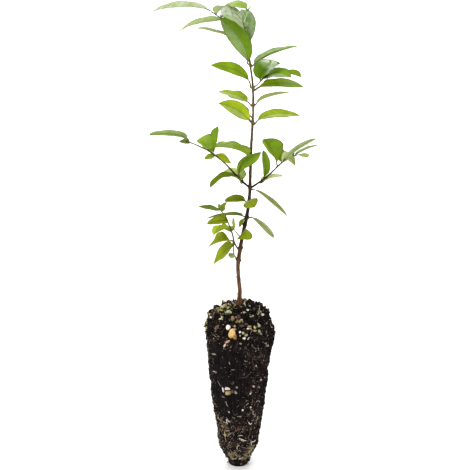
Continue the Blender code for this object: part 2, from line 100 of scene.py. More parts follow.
# Masses: a twig with leaves, whose rows start with the share of the twig below them
masses = {
    "leaves_left": {
        "limb": "bough_left",
        "route": [(-13.8, -10, 235), (-19.9, -12, 240), (-24.8, -14, 243), (-29, -15, 245.3), (-33.3, -16, 247)],
        "radius": (0.6, 0.4),
        "leaves": [
            (0.05, 200, -12, 8, 5, 30, -30, 0, 0.5, 0.8, 0.68, 14, 14, 0.06, "lemon"),
            (0.08, 332, -18, 14.1, 7.5, 68, 97, -70, 0.35, 1.1, 0.92, 4, 31, 0.02, "young"),
            (0.12, 56, 74, 18.6, 12.3, -2, -30, 10, 0.61, 1.38, 0.75, 18, 18, 0.02, "mid"),
            (0.14, 175, 38, 14.2, 19.2, 39, -17, -3, 0.35, 1.15, 0.93, 32, 30, 0.02, "clear"),
            (0.3, 75, 0, 13, 7, 50, 0, 0, 0.5, 0.8, 0.68, 14, 14, 0.06, "mid"),
            (0.88, 190, 8, 8, 5, 20, -30, 0, 0.5, 0.8, 0.68, 14, 14, 0.06, "grey"),
            (1, 192, 13, 28.3, 5.8, 145, -49, -70, 0.21, 0.55, 0.3, 36, 36, 0.03, "sage"),
        ],
    },
    "leaves_right": {
        "limb": "bough_right",
        "route": [(25.4, 11.7, 221.2), (26.1, 12, 222), (30.9, 14, 225.4), (37.9, 17, 228)],
        "radius": (0.6, 0.4),
        "leaves": [
            (0.05, 145, 54, 22, 19.3, 51, -7, -34, 1.22, 1.15, 1.04, 24, 30, 0.09, "mid"),
            (0.3, 105, 20, 21, 10, 40, 0, 0, 0.5, 0.8, 0.68, 14, 14, 0.06, "mid"),
            (0.38, 58, 22, 10.5, 7.6, 81, 11, 35, 0.35, 1.11, 0.45, 4, 37, 0.02, "chalk"),
            (0.4, 22, 29, 28.9, 4.1, 53, 25, 24, 0.56, 0.84, 0.45, 13, 34, 0.04, "pale"),
            (0.42, 297, 2, 18.2, 4.9, 106, 27, -32, 0.72, 1.03, 1.3, 9, 23, 0.14, "grey"),
            (1, 33, 13, 21.1, 5.1, 41, -11, 11, 0.35, 0.8, 0.45, 18, 32, 0.02, "pale"),
            (1, 315, 7, 12.3, 7.5, 61, 6, -37, 0.43, 1.46, 0.62, 9, 4, 0.14, "grey"),
        ],
    },
    "leaves_upper_right": {
        "limb": "trunk",
        "route": [(9.1, 0.2, 278.4), (12.7, -3, 282.4), (17.4, -6, 287.8)],
        "radius": (0.6, 0.4),
        "leaves": [
            (0.5, 342, 43, 19.9, 17.2, 95, 55, 3, 0.35, 0.7, 0.97, 41, 49, 0.04, "glossEnd"),
            (0.6, 330, 11, 23.4, 16.3, 73, 15, -19, 0.8, 0.83, 0.85, 4, 4, 0.02, "glossRight"),
            (0.7, 75, 12, 24, 11, 50, 0, 0, 0.5, 0.8, 0.68, 14, 14, 0.06, "mid"),
            (1, 19, -6, 25.5, 9, 55, -28, 14, 1.2, 1.9, 0.9, 14, 14, 0.06, "fresh"),
        ],
    },
    "leaves_lower_left": {
        "limb": "trunk",
        "route": [
            (0.1, 5.2, 164.5), (-2.9, 3, 170.5), (-4.3, 1, 177.9), (-7.3, -2, 187.5), (-9, -4, 192.6),
            (-13.1, -8, 198.6),
        ],
        "radius": (0.75, 0.4),
        "leaves": [
            (0.15, 189, -9, 19.7, 22.3, 76, 7, -40, 0.63, 0.55, 1.09, 23, 15, 0.14, "young"),
            (0.35, 120, -5, 16, 9, 60, 0, 0, 0.5, 0.8, 0.68, 14, 14, 0.06, "young"),
            (0.48, 210, -13, 13.4, 13.9, 15, 17, 33, 0.66, 0.99, 0.79, 31, 43, 0.02, "lime"),
            (0.64, 206, 1, 15.7, 7.2, 45, -34, -37, 0.63, 0.55, 0.45, 34, 17, 0.03, "young"),
            (0.9, 31, 57, 7.6, 8.7, 32, -2, -27, 0.56, 0.55, 0.69, 18, 6, 0.09, "moss"),
            (1, 210, 15, 16.8, 7.1, 16, -20, -42, 1.05, 0.55, 0.73, 4, 5, 0.02, "shade"),
        ],
    },
    "leaves_lowest": {
        "limb": "trunk",
        "route": [(0.3, 5.6, 156.5), (-2.5, 4, 160.1), (-3.3, 2.7, 163), (-3.6, 2.4, 168.4)],
        "radius": (0.65, 0.45),
        "leaves": [
            (0.4, 208, -45, 3.9, 7.5, 36, -5, -1, 0.48, 1.09, 0.45, 4, 5, 0.06, "pale"),
            (1, 156, -46, 23.2, 11.2, 46, -45, 44, 0.38, 0.59, 1.05, 15, 4, 0.02, "young"),
        ],
    },
    "leaves_spur": {
        "limb": "trunk",
        "route": [(1, 4.6, 174.5), (-0.1, 2, 176.5), (-1.8, -2, 180.2), (-3.2, -5, 183.3)],
        "radius": (0.5, 0.35),
        "leaves": [
            (1, 240, 84, 9, 4.6, -40, -30, 0, 0.5, 0.8, 0.68, 14, 14, 0.06, "lemon"),
        ],
    },
    "leaves_top_left": {
        "limb": "trunk",
        "route": [(4.5, 5.7, 309), (0, 4.8, 313.6), (-4.4, 6, 318), (-12.8, 10.5, 322.9), (-18.7, 15, 326.2)],
        "radius": (0.55, 0.4),
        "leaves": [
            (0.7, 60, -20, 25, 11, 50, 0, 0, 0.5, 0.8, 0.68, 14, 14, 0.06, "mid"),
            (0.62, 170, -16, 31.8, 8, 32, -3, -70, 1.6, 0.76, 0.45, 46, 4, 0.02, "pale"),
            (0.82, 53, 24, 11.4, 9.5, 37, 13, 16, 0.35, 0.62, 0.96, 50, 17, 0.02, "pale"),
            (1, 163, -3, 40.1, 9.3, 53, -7, -16, 0.35, 1.18, 0.45, 36, 8, 0.02, "silver"),
        ],
    },
    "leaves_tip": {
        "limb": "trunk",
        "route": [(3.5, 6.5, 317), (3.3, 6.6, 319.5), (5.5, 7, 327.5)],
        "radius": (0.5, 0.4),
        "leaves": [
            (0.05, 224, 21, 21.3, 21.1, 42, -40, 20, 1.13, 0.55, 0.56, 5, 8, 0.04, "silverRight"),
            (1, 160, 7, 17.3, 12.7, 97, -11, 38, 0.35, 0.95, 0.69, 4, 4, 0.08, "freshPale"),
        ],
    },
}


def routeLine(points, step):
    # Points at an even step along a smooth curve through the route: a Catmull-Rom spline, then even arc length.
    corners = np.array(points, float)
    held = np.vstack([2 * corners[0] - corners[1], corners, 2 * corners[-1] - corners[-2]])
    t = np.linspace(0, 1, 40, endpoint=False)[:, None]
    fine = []
    for a, b, c, d in zip(held, held[1:], held[2:], held[3:]):
        fine.append(b + (c - a) * t / 2 + (2 * a - 5 * b + 4 * c - d) * t**2 / 2 + (3 * b - a - 3 * c + d) * t**3 / 2)
    fine = np.vstack([*fine, corners[-1:]])
    lengths = np.concatenate([[0], np.cumsum(np.linalg.norm(np.diff(fine, axis=0), axis=1))])
    even = np.linspace(0, lengths[-1], max(4, int(lengths[-1] / step) + 1))
    return np.stack([np.interp(even, lengths, fine[:, k]) for k in range(3)], 1)


def pointAt(line, share):
    # The point with this share of the line's length below it.
    return np.array([np.interp(share, np.linspace(0, 1, len(line)), line[:, k]) for k in range(3)])


def pointAtHeight(line, height):
    # The point of a rising line at this height.
    return np.array([np.interp(height, line[:, 2], line[:, k]) for k in range(3)])


def direction(heading, rise):
    # A unit vector turned from +X by the heading and lifted by the rise.
    parts = np.broadcast_arrays(np.cos(rise) * np.cos(heading), np.cos(rise) * np.sin(heading), np.sin(rise))
    return np.stack(parts, -1)


def unit(vectors):
    return vectors / np.linalg.norm(vectors, axis=-1, keepdims=True)


def smoothStep(value, low, high):
    # 0 below low, 1 above high, and 3t^2 - 2t^3 between.
    t = np.clip((value - low) / (high - low), 0, 1)
    return t * t * (3 - 2 * t)


def latticeNoise(points, size, seed):
    # Smooth noise from -1 to 1: a number at each corner of a lattice, hashed from its place, blended across a cell.
    place = points / size + 1000
    cell = np.floor(place).astype(np.int64)
    part = place - cell
    part = part * part * (3 - 2 * part)
    total = np.zeros(points.shape[:-1])
    for corner in np.ndindex(2, 2, 2):
        key = cell + np.array(corner)
        mixed = key[..., 0] * 73856093 ^ key[..., 1] * 19349663 ^ key[..., 2] * 83492791 ^ seed * 2654435761
        mixed = (mixed ^ (mixed >> 13)) * 1274126177 & 0x7FFFFFFF
        value = ((mixed ^ (mixed >> 15)) & 0xFFFFFF) / 0xFFFFFF
        total += value * np.prod(np.where(np.array(corner), part, 1 - part), axis=-1)
    return total * 2 - 1


# A gathering is a list of closed surfaces that become one piece.
def addSurface(gathering, verts, quads, triangles, **marks):
    # Faces point outwards where the sum of their corners' triple products, the volume, is above zero.
    middle = verts.mean(0)
    split = np.vstack([triangles, quads[:, [0, 1, 2]], quads[:, [0, 2, 3]]])
    a, b, c = (verts[split[:, k]] - middle for k in range(3))
    if np.einsum("ij,ij->", a, np.cross(b, c)) < 0:
        quads, triangles = quads[:, ::-1], triangles[:, ::-1]
    gathering.append((verts, quads, triangles, marks))


def makePiece(name, gathering, material):
    # One mesh from all the surfaces of a gathering, with each mark as an attribute of its points.
    data = bpy.data.meshes.new(name)
    starts = np.cumsum([0] + [len(verts) for verts, _, _, _ in gathering])
    faces = []
    for start, (_, quads, triangles, _) in zip(starts, gathering):
        faces += (quads + start).tolist() + (triangles + start).tolist()
    data.from_pydata((np.vstack([surface[0] for surface in gathering]) * mm).tolist(), [], faces)
    for mark, first in gathering[0][3].items():
        kind, field = ("FLOAT_COLOR", "color") if first.ndim == 2 else ("FLOAT", "value")
        values = np.concatenate([surface[3][mark] for surface in gathering])
        data.attributes.new(mark, kind, "POINT").data.foreach_set(field, values.astype(np.float32).ravel())
    data.shade_smooth()
    data.materials.append(material)
    piece = bpy.data.objects.new(name, data)
    bpy.context.scene.collection.objects.link(piece)
    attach(piece, "root")
    print("made", name, "with", sum(len(face) - 2 for face in faces), "triangles")
    return piece


def tubes(lines, hints, radii, sides):
    # Tubes along many lines at once: at each point a ring of cos(angle) side + sin(angle) other, times the radius,
    # where side is square to the line and to the hint. A point on the line closes each end.
    count, length = lines.shape[:2]
    along = unit(np.gradient(lines, axis=1))
    side = unit(np.cross(along, hints))
    other = np.cross(along, side)
    angle = np.linspace(0, 2 * np.pi, sides, endpoint=False)[:, None]
    out = np.cos(angle) * side[:, :, None] + np.sin(angle) * other[:, :, None]
    ring = lines[:, :, None] + np.broadcast_to(radii, (count, length, sides))[..., None] * out
    verts = np.concatenate([ring.reshape(count, -1, 3), lines[:, :1], lines[:, -1:]], 1)
    start = (np.arange(count) * (length * sides + 2))[:, None, None]
    j = np.arange(sides)
    k = (j + 1) % sides
    i = np.arange(length - 1)[:, None] * sides
    quads = (start[..., None] + np.stack([i + j, i + k, i + sides + k, i + sides + j], -1)[None]).reshape(-1, 4)
    last = (length - 1) * sides
    near = np.stack([k, j, np.full(sides, length * sides)], -1)
    far = np.stack([last + j, last + k, np.full(sides, length * sides + 1)], -1)
    return verts.reshape(-1, 3), quads, (start + np.concatenate([near, far])).reshape(-1, 3)


# Leaves
leafStyle = {
    "rows": 66, "columns": 21, "smallRows": 22, "smallColumns": 9, "stalkRows": 7,
    "petioleHalf": 0.5, "foldSpread": 2, "thickness": 0.16, "midrib": 0.2, "sideVeins": 9, "veinDepth": 0.035,
    "wave": 0.018, "waves": 2.4, "tipCurl": 14, "shade": 0.08, "standOff": 0.9,
}
# Red, green and blue, and how much painted sheen, a pale painted reflection, lies on the right half, the left half and
# the outer end
leafLooks = {
    "lime": (0.325, 0.41, 0.012, 0, 0, 0), "limeLeft": (0.31, 0.415, 0.009, 0, 0.2, 0),
    "limeRight": (0.31, 0.415, 0.007, 0.2, 0, 0), "limePale": (0.30, 0.41, 0.03, 0.15, 0.15, 0),
    "lemon": (0.25, 0.34, 0.008, 0, 0.2, 0), "fresh": (0.205, 0.325, 0.008, 0, 0, 0),
    "freshPale": (0.20, 0.32, 0.008, 0.1, 0.1, 0.3), "freshLeft": (0.14, 0.25, 0.008, 0, 0.35, 0),
    "mid": (0.165, 0.270, 0.012, 0, 0, 0), "young": (0.22, 0.27, 0.005, 0, 0, 0), "olive": (0.162, 0.205, 0.004, 0, 0, 0),
    "moss": (0.14, 0.20, 0.004, 0, 0, 0), "shade": (0.09, 0.132, 0.003, 0, 0, 0), "dull": (0.12, 0.185, 0.012, 0.07, 0.07, 0),
    "grey": (0.22, 0.265, 0.04, 0.15, 0.15, 0), "pale": (0.25, 0.33, 0.06, 0.33, 0.33, 0),
    # chalk's very pale base is partly painted light, lifting leaves that sit in shade, on top of its painted sheen
    "chalk": (0.50, 0.58, 0.11, 0.42, 0.42, 0), "silver": (0.29, 0.36, 0.10, 0.62, 0.62, 0), "silverRight": (0.17, 0.28, 0.03, 0.85, 0.4, 0),
    "glossLeft": (0.13, 0.24, 0.008, 0, 0.22, 0), "glossRight": (0.15, 0.28, 0.008, 0.22, 0, 0),
    "glossEnd": (0.10, 0.20, 0.006, 0, 0, 1.0), "flecked": (0.09, 0.23, 0.003, 0.40, 0.50, 0),
    "midEnd": (0.175, 0.28, 0.003, 0, 0, 0.12), "sage": (0.205, 0.295, 0.055, 0.15, 0.15, 0),
    "limeEnd": (0.31, 0.45, 0.01, 0.06, 0.06, 0.3), "clear": (0.27, 0.40, 0.025, 0.04, 0.04, 0), "khaki": (0.205, 0.225, 0.035, 0.12, 0.12, 0),
    "ash": (0.25, 0.275, 0.08, 0.15, 0.15, 0),
}
# Leaves with a more ruffled margin
ruffled = {"leaf_bough_low": 0.06, "leaf_bough_back": 0.06, "leaf_middle_left": 0.03, "leaf_third_left": 0.03}
# Small leaves and buds that the solids leave out, on a limb or a mass's twig:
# height on it, heading, rise, length, width, bend, roll and colour
smallLeaves = [
    ("trunk", 188, 200, -60, 7, 4, 20, -20, "olive"), ("leaves_top_left", 325.2, 200, -35, 3.2, 1.6, 20, 0, "pale"),
    ("trunk", 316, 60, 50, 5, 2.2, 20, 0, "silver"), ("leaves_tip", 327, 20, 55, 4.5, 2, -20, 0, "fresh"),
    ("leaves_left", 246.6, 120, 50, 3.5, 1.6, 20, 0, "young"), ("leaves_right", 227.6, 70, 50, 4, 1.8, 20, 0, "fresh"),
    ("leaves_upper_right", 287.2, 80, 60, 4.5, 2, 20, 0, "fresh"), ("leaves_lower_left", 198.2, 100, 60, 4, 2, 20, 0, "fresh"),
    ("leaves_lowest", 168, 80, 60, 4, 2, 20, 0, "young"),
]


def bladeHalf(u, widest, fullness):
    # Half width as a share of the widest half: sin(pi u^widest)^fullness, eased in at the base, drawn in at the tip.
    law = np.sin(np.pi * u**widest).clip(0) ** fullness
    return law * (1 - np.exp(-u / 0.03)) * (1 - 0.3 * np.clip((u - 0.88) / 0.12, 0, 1) ** 2)


def leafLine(anchor, base, shape):
    # The midline, and a side direction at each of its points. Along the blade its heading is heading + sweep (s - 1/2)
    # and its pitch is rise + bend (1 / (1 + power) - s^power); before it, a stalk curves up out of the limb.
    heading, rise, length, bend, sweep, power, curl, rows = shape
    s = np.linspace(0, 1, rows)
    head = np.radians(heading + sweep * (s - 0.5))
    pitch = np.radians(rise + bend * (1 / (1 + power) - s**power) - curl * np.clip((s - 0.9) / 0.1, 0, 1) ** 2)
    along = direction(head, pitch)
    blade = np.vstack([base, base + np.cumsum((along[1:] + along[:-1]) / 2 * length / (rows - 1), 0)])
    t = np.linspace(0, 1, leafStyle["stalkRows"], endpoint=False)[:, None]
    knee = base - along[0] * min(1.5, (np.linalg.norm(base - anchor) - 0.8) * 0.6)
    stalk = anchor * (1 - t) ** 2 + knee * 2 * t * (1 - t) + base * t**2
    head = np.concatenate([np.full(len(t), head[0]), head])
    s = np.concatenate([np.zeros(len(t)), s])
    return np.vstack([stalk, blade]), np.stack([np.sin(head), -np.cos(head), 0 * head], 1), s


def leafSurface(anchor, base, shape, rng, rows, columns, wave):
    # A leaf as a closed shell over its midline. Across it, each half lifts by its fold and arches over, the margin
    # waves a little, and the midrib and side veins stand in relief; before the blade it is a round stalk.
    heading, rise, length, width, bend, roll, sweep, power, widest, fullness, foldRight, foldLeft, petiole = shape
    curl = leafStyle["tipCurl"] * rng.uniform(0.3, 1.3)
    line, flatSide, s = leafLine(anchor, base, (heading, rise, length, bend, sweep, power, curl, rows))
    flatUp = unit(np.cross(flatSide, unit(np.gradient(line, axis=0))))
    phase, twist = rng.uniform(0, 6.28), math.radians(rng.uniform(-5, 5))
    turn = (math.radians(roll) + twist * (s - 0.5))[:, None]
    up = (flatUp * np.cos(turn) + flatSide * np.sin(turn))[:, None]
    side = (flatSide * np.cos(turn) - flatUp * np.sin(turn))[:, None]
    u = np.clip((s - petiole) / (1 - petiole), 0, 1)[:, None]
    spread = np.clip(u / 0.06, 0, 1)
    v = np.linspace(-1, 1, columns)[None, :]
    fold = np.where(v > 0, foldRight, foldLeft) + rng.uniform(-1, 1) * leafStyle["foldSpread"]
    fold = np.radians(fold) * smoothStep(np.abs(v), -0.05, 0.2)
    stalkHalf = min(leafStyle["petioleHalf"], width / 7) * (1 - 0.7 * s[:, None])
    half = np.maximum(stalkHalf, width / 2 * bladeHalf(u, widest, fullness))
    margin = wave * width * np.sin(2 * np.pi * leafStyle["waves"] * u + phase + 1.3 * np.sign(v)) * np.abs(v) ** 3
    vein = np.cos(2 * np.pi * leafStyle["sideVeins"] * (u - 0.32 * np.abs(v) + 0.1 * v**2)).clip(0) ** 4
    raised = np.sin(fold) * half * (1.35 * np.abs(v) - 0.35 * v**2) + margin * np.sin(np.pi * u)
    raised = spread * (raised - leafStyle["veinDepth"] * vein * (1 - v**4))
    out = v * half * (1 - (1 - np.cos(fold)) * spread)
    rib = spread * leafStyle["midrib"] * np.exp(-((out / 0.4) ** 2)) * (1 - 0.6 * u)
    thick = spread * leafStyle["thickness"] * (1 - 0.85 * v**6)
    thick = thick + (1 - spread) * 2 * stalkHalf * np.sqrt(1 - 0.95 * v**2)
    skin = line[:, None] + side * out[..., None] + up * raised[..., None]
    top = skin + up * (thick / 2 - 0.6 * rib)[..., None]
    below = skin - up * (thick / 2 + rib)[..., None]
    ring = np.concatenate([top, below[:, ::-1]], 1)
    count, around = ring.shape[:2]
    i = np.arange(count - 1)[:, None] * around
    j = np.arange(around)
    k = (j + 1) % around
    sheet = np.stack([i + j, i + k, i + around + k, i + around + j], -1).reshape(-1, 4)
    j = np.arange(columns - 1)
    end = np.stack([j, around - 1 - j, around - 2 - j, j + 1], 1)
    quads = np.vstack([sheet, end, end[:, ::-1] + (count - 1) * around])
    marks = {
        "along": np.repeat(u[:, 0], around), "across": np.tile(np.concatenate([v[0], v[0][::-1]]), count),
        "fromRib": np.abs(np.concatenate([out, out[:, ::-1]], 1)).ravel(),
        "under": np.tile(np.repeat([0.0, 1.0], columns), count),
        "stalk": np.repeat(1 - smoothStep(u[:, 0], 0.0, 0.07), around),
    }
    return ring.reshape(-1, 3), quads, marks


def growLeaf(gathering, anchor, base, shape, look, rng, wave=leafStyle["wave"], small=False):
    # One leaf of the tables, in its named look with a shade of its own.
    rows = leafStyle["smallRows" if small else "rows"]
    columns = leafStyle["smallColumns" if small else "columns"]
    verts, quads, marks = leafSurface(anchor, base, shape, rng, rows, columns, wave)
    shade = 1 + rng.uniform(-1, 1) * leafStyle["shade"]
    *colour, right, left, end = leafLooks[look]
    colour = np.append(np.array(colour) * shade, 1.0)
    # Painted reflection: the sheen mark lays a pale sheen on one half or the outer end, as the look says
    sheen = left + (right - left) * smoothStep(marks["across"], -0.12, 0.12)
    sheen = np.maximum(sheen, end * smoothStep(marks["along"], 0.38, 0.66))
    none = np.zeros((0, 3), int)
    addSurface(gathering, verts, quads, none, leafColour=np.tile(colour, (len(verts), 1)), sheen=sheen, **marks)


def standOff(line, point, heading, clear):
    # The first point outwards along the heading that is this clear of the line.
    outward = point + np.arange(0, 8, 0.05)[:, None] * direction(math.radians(heading), 0)
    away = np.linalg.norm(outward[:, None] - line[None], axis=2).min(1)
    return outward[np.argmax(away >= clear)]


def growLeaves(lines, twigLines, material):
    # Leaves of three levels, each level one piece, which stands for the solids of that level.
    rng = random.Random(11)
    levels = {"leavesLow": ([], []), "leavesBough": ([], []), "leavesTop": ([], [])}

    def levelOf(height):
        return levels["leavesLow" if height < 207 else "leavesBough" if height < 250 else "leavesTop"]

    for name, (limb, height, *shape, colour) in loneLeaves.items():
        gathering, replaced = levelOf(height)
        radius = trunkRadius(height) if limb == "trunk" else limbs[limb]["radius"][0]
        clear = radius + leafStyle["standOff"] * (1 if limb == "trunk" else 0.5)
        base = standOff(lines[limb], pointAtHeight(lines[limb], height), shape[0], clear)
        steep = math.sin(math.radians(np.clip(shape[1], -60, 60)))
        anchor = pointAtHeight(lines[limb], height - (1.6 if limb == "trunk" else 0.4) * steep)
        growLeaf(gathering, anchor, base, shape, colour, rng, ruffled.get(name, leafStyle["wave"]))
        replaced.append(name)
    for name, mass in masses.items():
        line = twigLines[name]
        onTrunk = mass["limb"] == "trunk"
        away = np.linalg.norm(line[:, None] - lines[mass["limb"]][None], axis=2).min(1)
        clear = trunkRadius(line[0][2]) + mass["radius"][0] + 0.33 if onTrunk else 0.39
        free = line[np.argmax(away >= clear):]
        gathering, replaced = levelOf(line[-1][2])
        for share, *shape, colour in mass["leaves"]:
            base = pointAt(free, share)
            behind = direction(math.radians(shape[0]), math.radians(shape[1]))
            growLeaf(gathering, base - 0.35 * behind, base, shape, colour, rng)
        replaced.append(name)
    plain = (0, 0.5, 0.8, 0.68, 14, 14, 0.1)
    for limb, height, *shape, colour in smallLeaves:
        line = lines.get(limb, twigLines.get(limb))
        behind = direction(math.radians(shape[0]), math.radians(shape[1]))
        base = pointAtHeight(line, height) + direction(math.radians(shape[0]), 0) * (1.6 if limb == "trunk" else 0.2)
        gathering = levelOf(height if limb == "trunk" else line[-1][2])[0]
        growLeaf(gathering, base - 0.3 * behind, base, (*shape, *plain), colour, rng, small=True)
    for name, (gathering, replaced) in levels.items():
        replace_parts(makePiece(name, gathering, material), *replaced)


# Bark
barkStyle = {
    "sides": 36, "step": 0.3, "flake": 0.1, "ridge": 0.08, "grain": 0.035, "flare": 0.7, "flareHeight": 4.5,
    "swelling": 0.14, "swellingReach": 2.2, "ring": 0.13, "ringReach": 0.75, "twigSides": 12,
    "nodes": [157, 166, 183, 189, 200, 210, 232, 255.5, 267.5, 278.5, 293],
    # Leaf scars and buds: height, heading, how far they stand out
    "scars": [
        (131, 200, 0.3), (138, 20, 0.25), (144, 170, 0.35), (157.5, 190, 0.7), (156.5, 0, 0.55), (166, 10, 0.4), (171, 250, 0.35),
        (183, 200, 0.45), (189, 330, 0.4), (200, 280, 0.5), (210, 270, 0.4), (221, 190, 0.3), (232, 190, 0.5),
        (244, 10, 0.3), (255.5, 0, 0.5), (255.5, 180, 0.5), (267.5, 0, 0.45), (267.5, 170, 0.45), (278.5, 0, 0.45),
        (278.5, 200, 0.45), (293, 190, 0.45), (293, 10, 0.45),
    ],
}


def trunkRadius(height):
    # The solid trunk's radius: an even taper, a flare that dies away upwards, and a swelling at each node.
    foot, tip = limbs["trunk"]["route"][0][2], limbs["trunk"]["route"][-1][2]
    low, high = limbs["trunk"]["radius"]
    nearest = np.min(np.abs(np.subtract.outer(height, barkStyle["nodes"])), axis=-1)
    radius = low + (high - low) * (height - foot) / (tip - foot)
    radius = radius + barkStyle["flare"] * np.exp(-(height - foot) / barkStyle["flareHeight"])
    return radius + barkStyle["swelling"] * np.exp(-((nearest / barkStyle["swellingReach"]) ** 2))


def barkRelief(arc, angle, radius):
    # Flakes, long ridges and grain: noise on a cylinder, drawn out along the limb.
    x, y, z = np.broadcast_arrays(np.cos(angle), np.sin(angle), arc[:, None])
    place = np.stack([x, y, z], -1)
    relief = barkStyle["flake"] * latticeNoise(place * [1.7, 1.7, 0.5], 1, 3)
    relief += barkStyle["ridge"] * latticeNoise(place * [3.4, 3.4, 0.3], 1, 5)
    relief += barkStyle["grain"] * latticeNoise(place * [3, 3, 2.4], 1, 9)
    return relief * np.clip(radius, 0.3, 1.4)[:, None] / 1.4


def growBark(lines, twigLines, material, twigMaterial):
    # Trunk and boughs with their relief, and the twigs of the masses; age runs from old bark, 0, to green, 1.
    gathering = []
    angle = np.linspace(0, 2 * np.pi, barkStyle["sides"], endpoint=False)
    for name, line in lines.items():
        arc = np.arange(len(line)) * barkStyle["step"]
        share = np.linspace(0, 1, len(line))
        if name == "trunk":
            height = line[:, 2]
            radius = trunkRadius(height) * (1.01 + 0.08 * smoothStep(height, 138, 160) - 0.03 * smoothStep(height, 160, 215))
            nearest = np.min(np.abs(np.subtract.outer(height, barkStyle["nodes"])), axis=-1)
            ringed = barkStyle["ring"] * np.exp(-((nearest / barkStyle["ringReach"]) ** 2))
            age = (height - 123) / 194
        else:
            first, last = limbs[name]["radius"]
            radius = (first + (last - first) * share) * 0.87
            ringed = 0 * share
            age = 0.35 + 0.37 * smoothStep(share, 0.25, 1)
        swell = radius[:, None] + ringed[:, None] + barkRelief(arc, angle, radius)
        if name == "trunk":
            for place, heading, size in barkStyle["scars"]:
                # The ring's first point faces +X here, and its angle turns the same way as the heading or against it
                turn = np.angle(np.exp(1j * (angle - scarAngle(heading))))
                bump = np.exp(-(((height - place) / 0.8) ** 2))[:, None] * np.exp(-((turn / 0.5) ** 2))[None]
                swell = swell + size * bump * np.clip(radius, 0.6, 1.4)[:, None] / 1.2
        hint = np.broadcast_to([0.0, 1.0, 0.0], (1, len(line), 3))
        verts, quads, triangles = tubes(line[None], hint, swell[None], barkStyle["sides"])
        age = np.append(np.repeat(age, barkStyle["sides"]), [age[0], age[-1]])
        addSurface(gathering, verts, quads, triangles, age=age)
    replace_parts(makePiece("bark", gathering, material), *limbs)
    gathering = []
    for name, line in twigLines.items():
        first, last = masses[name]["radius"]
        share = np.linspace(0, 1, len(line))
        arc = share * len(line) * barkStyle["step"]
        angle = np.linspace(0, 2 * np.pi, barkStyle["twigSides"], endpoint=False)
        radius = (first + (last - first) * share) * (0.85 if masses[name]["limb"] == "trunk" else 1.05)
        swell = radius[:, None] + 0.5 * barkRelief(arc, angle, radius)
        hint = np.broadcast_to([0.0, 1.0, 0.0], (1, len(line), 3))
        verts, quads, triangles = tubes(line[None], hint, swell[None], barkStyle["twigSides"])
        # The shoot tip's twig takes the palest tone: a pale green stem, partly a painted highlight along it
        age = share * 0.8 if name != "leaves_tip" else 0 * share + 1
        age = np.append(np.repeat(age, barkStyle["twigSides"]), [age[0], age[-1]])
        addSurface(gathering, verts, quads, triangles, age=age)
    makePiece("twigs", gathering, twigMaterial)


def scarAngle(heading):
    # The trunk's rings start at the side square to +Y and turn through it: heading 0 is the angle 180 degrees.
    return math.pi - math.radians(heading)


# Root ball
ballStyle = {
    # Radius and height, from the stem's seat over the mound and the rim down to the foot
    "outline": [
        (4.0, 122.6), (9.5, 121.8), (16.0, 119.5), (21.2, 115.5), (23.8, 110.0), (24.2, 104.0), (23.4, 97.0),
        (21.9, 88.0), (20.2, 70.0), (18.8, 53.0), (17.0, 41.0), (15.6, 29.0), (14.4, 19.0), (12.4, 12.5),
        (9.5, 6.0), (7.0, 0.0),
    ],
    "sides": 290, "rows": 280, "ribs": 7, "ribDepth": 0.35, "moundFoot": 108, "top": 122.6, "seat": (0.5, 7.0),
    "slump": 2.6, "lean": 0.9,
    # Clods and grains: size, how far they stand out of the sides, how far out of the loose mound, and a seed
    "clods": [(9.0, 0.5, 1.2, 21), (4.0, 0.5, 1.3, 22), (1.8, 0.5, 0.9, 23), (0.95, 0.3, 0.4, 24)],
    # The front left is pressed smooth from the tray: its heading, half width and heights
    "pressed": (-112, 44, 34, 58, 99, 106), "streak": 0.3,
}


def ballForm():
    # The root ball as a grid of headings and places along its outline: the outline turned about the axis, with ribs
    # as cos(7 heading), a mound leaning to the stem's foot, and a front that slumps as the sine of height in the mound.
    outline = routeLine([(r, 0, z) for r, z in ballStyle["outline"]], 0.2)[:, [0, 2]]
    outline = np.vstack([[0.05, outline[0, 1]], outline, [0.05, 0]])
    lengths = np.concatenate([[0], np.cumsum(np.linalg.norm(np.diff(outline, axis=0), axis=1))])
    even = np.linspace(0, lengths[-1], ballStyle["rows"])
    radius, height = (np.interp(even, lengths, outline[:, k])[:, None] for k in range(2))
    heading = np.linspace(-np.pi, np.pi, ballStyle["sides"], endpoint=False)[None]
    slope = unit(np.gradient(np.hstack([radius, height]), axis=0))
    top, foot = ballStyle["top"], ballStyle["moundFoot"]
    inMound = np.clip((height - foot) / (top - foot), 0, 1)
    ribbed = ballStyle["ribDepth"] * np.cos(ballStyle["ribs"] * heading) * np.minimum(1, height / 20) * (1 - inMound)
    x = (radius + ribbed) * np.cos(heading) + ballStyle["seat"][0] * inMound
    x = x + ballStyle["lean"] * smoothStep(height, 78, 98) * (1 - smoothStep(height, 106, 114))
    y = (radius + ribbed) * np.sin(heading) + ballStyle["seat"][1] * inMound
    front = np.clip(-np.sin(heading), 0, 1)
    z = height - ballStyle["slump"] * front * np.sin(np.pi * inMound)
    normal = np.stack(np.broadcast_arrays(
        -slope[:, 1:] * np.cos(heading), -slope[:, 1:] * np.sin(heading), slope[:, :1] + 0 * heading), -1)
    return np.stack([x, y, z], -1), normal, even[-1]


def fromHeading(heading, degrees):
    # How far the heading is from the given one, from 0 to pi.
    return np.abs(np.angle(np.exp(1j * (heading - math.radians(degrees)))))


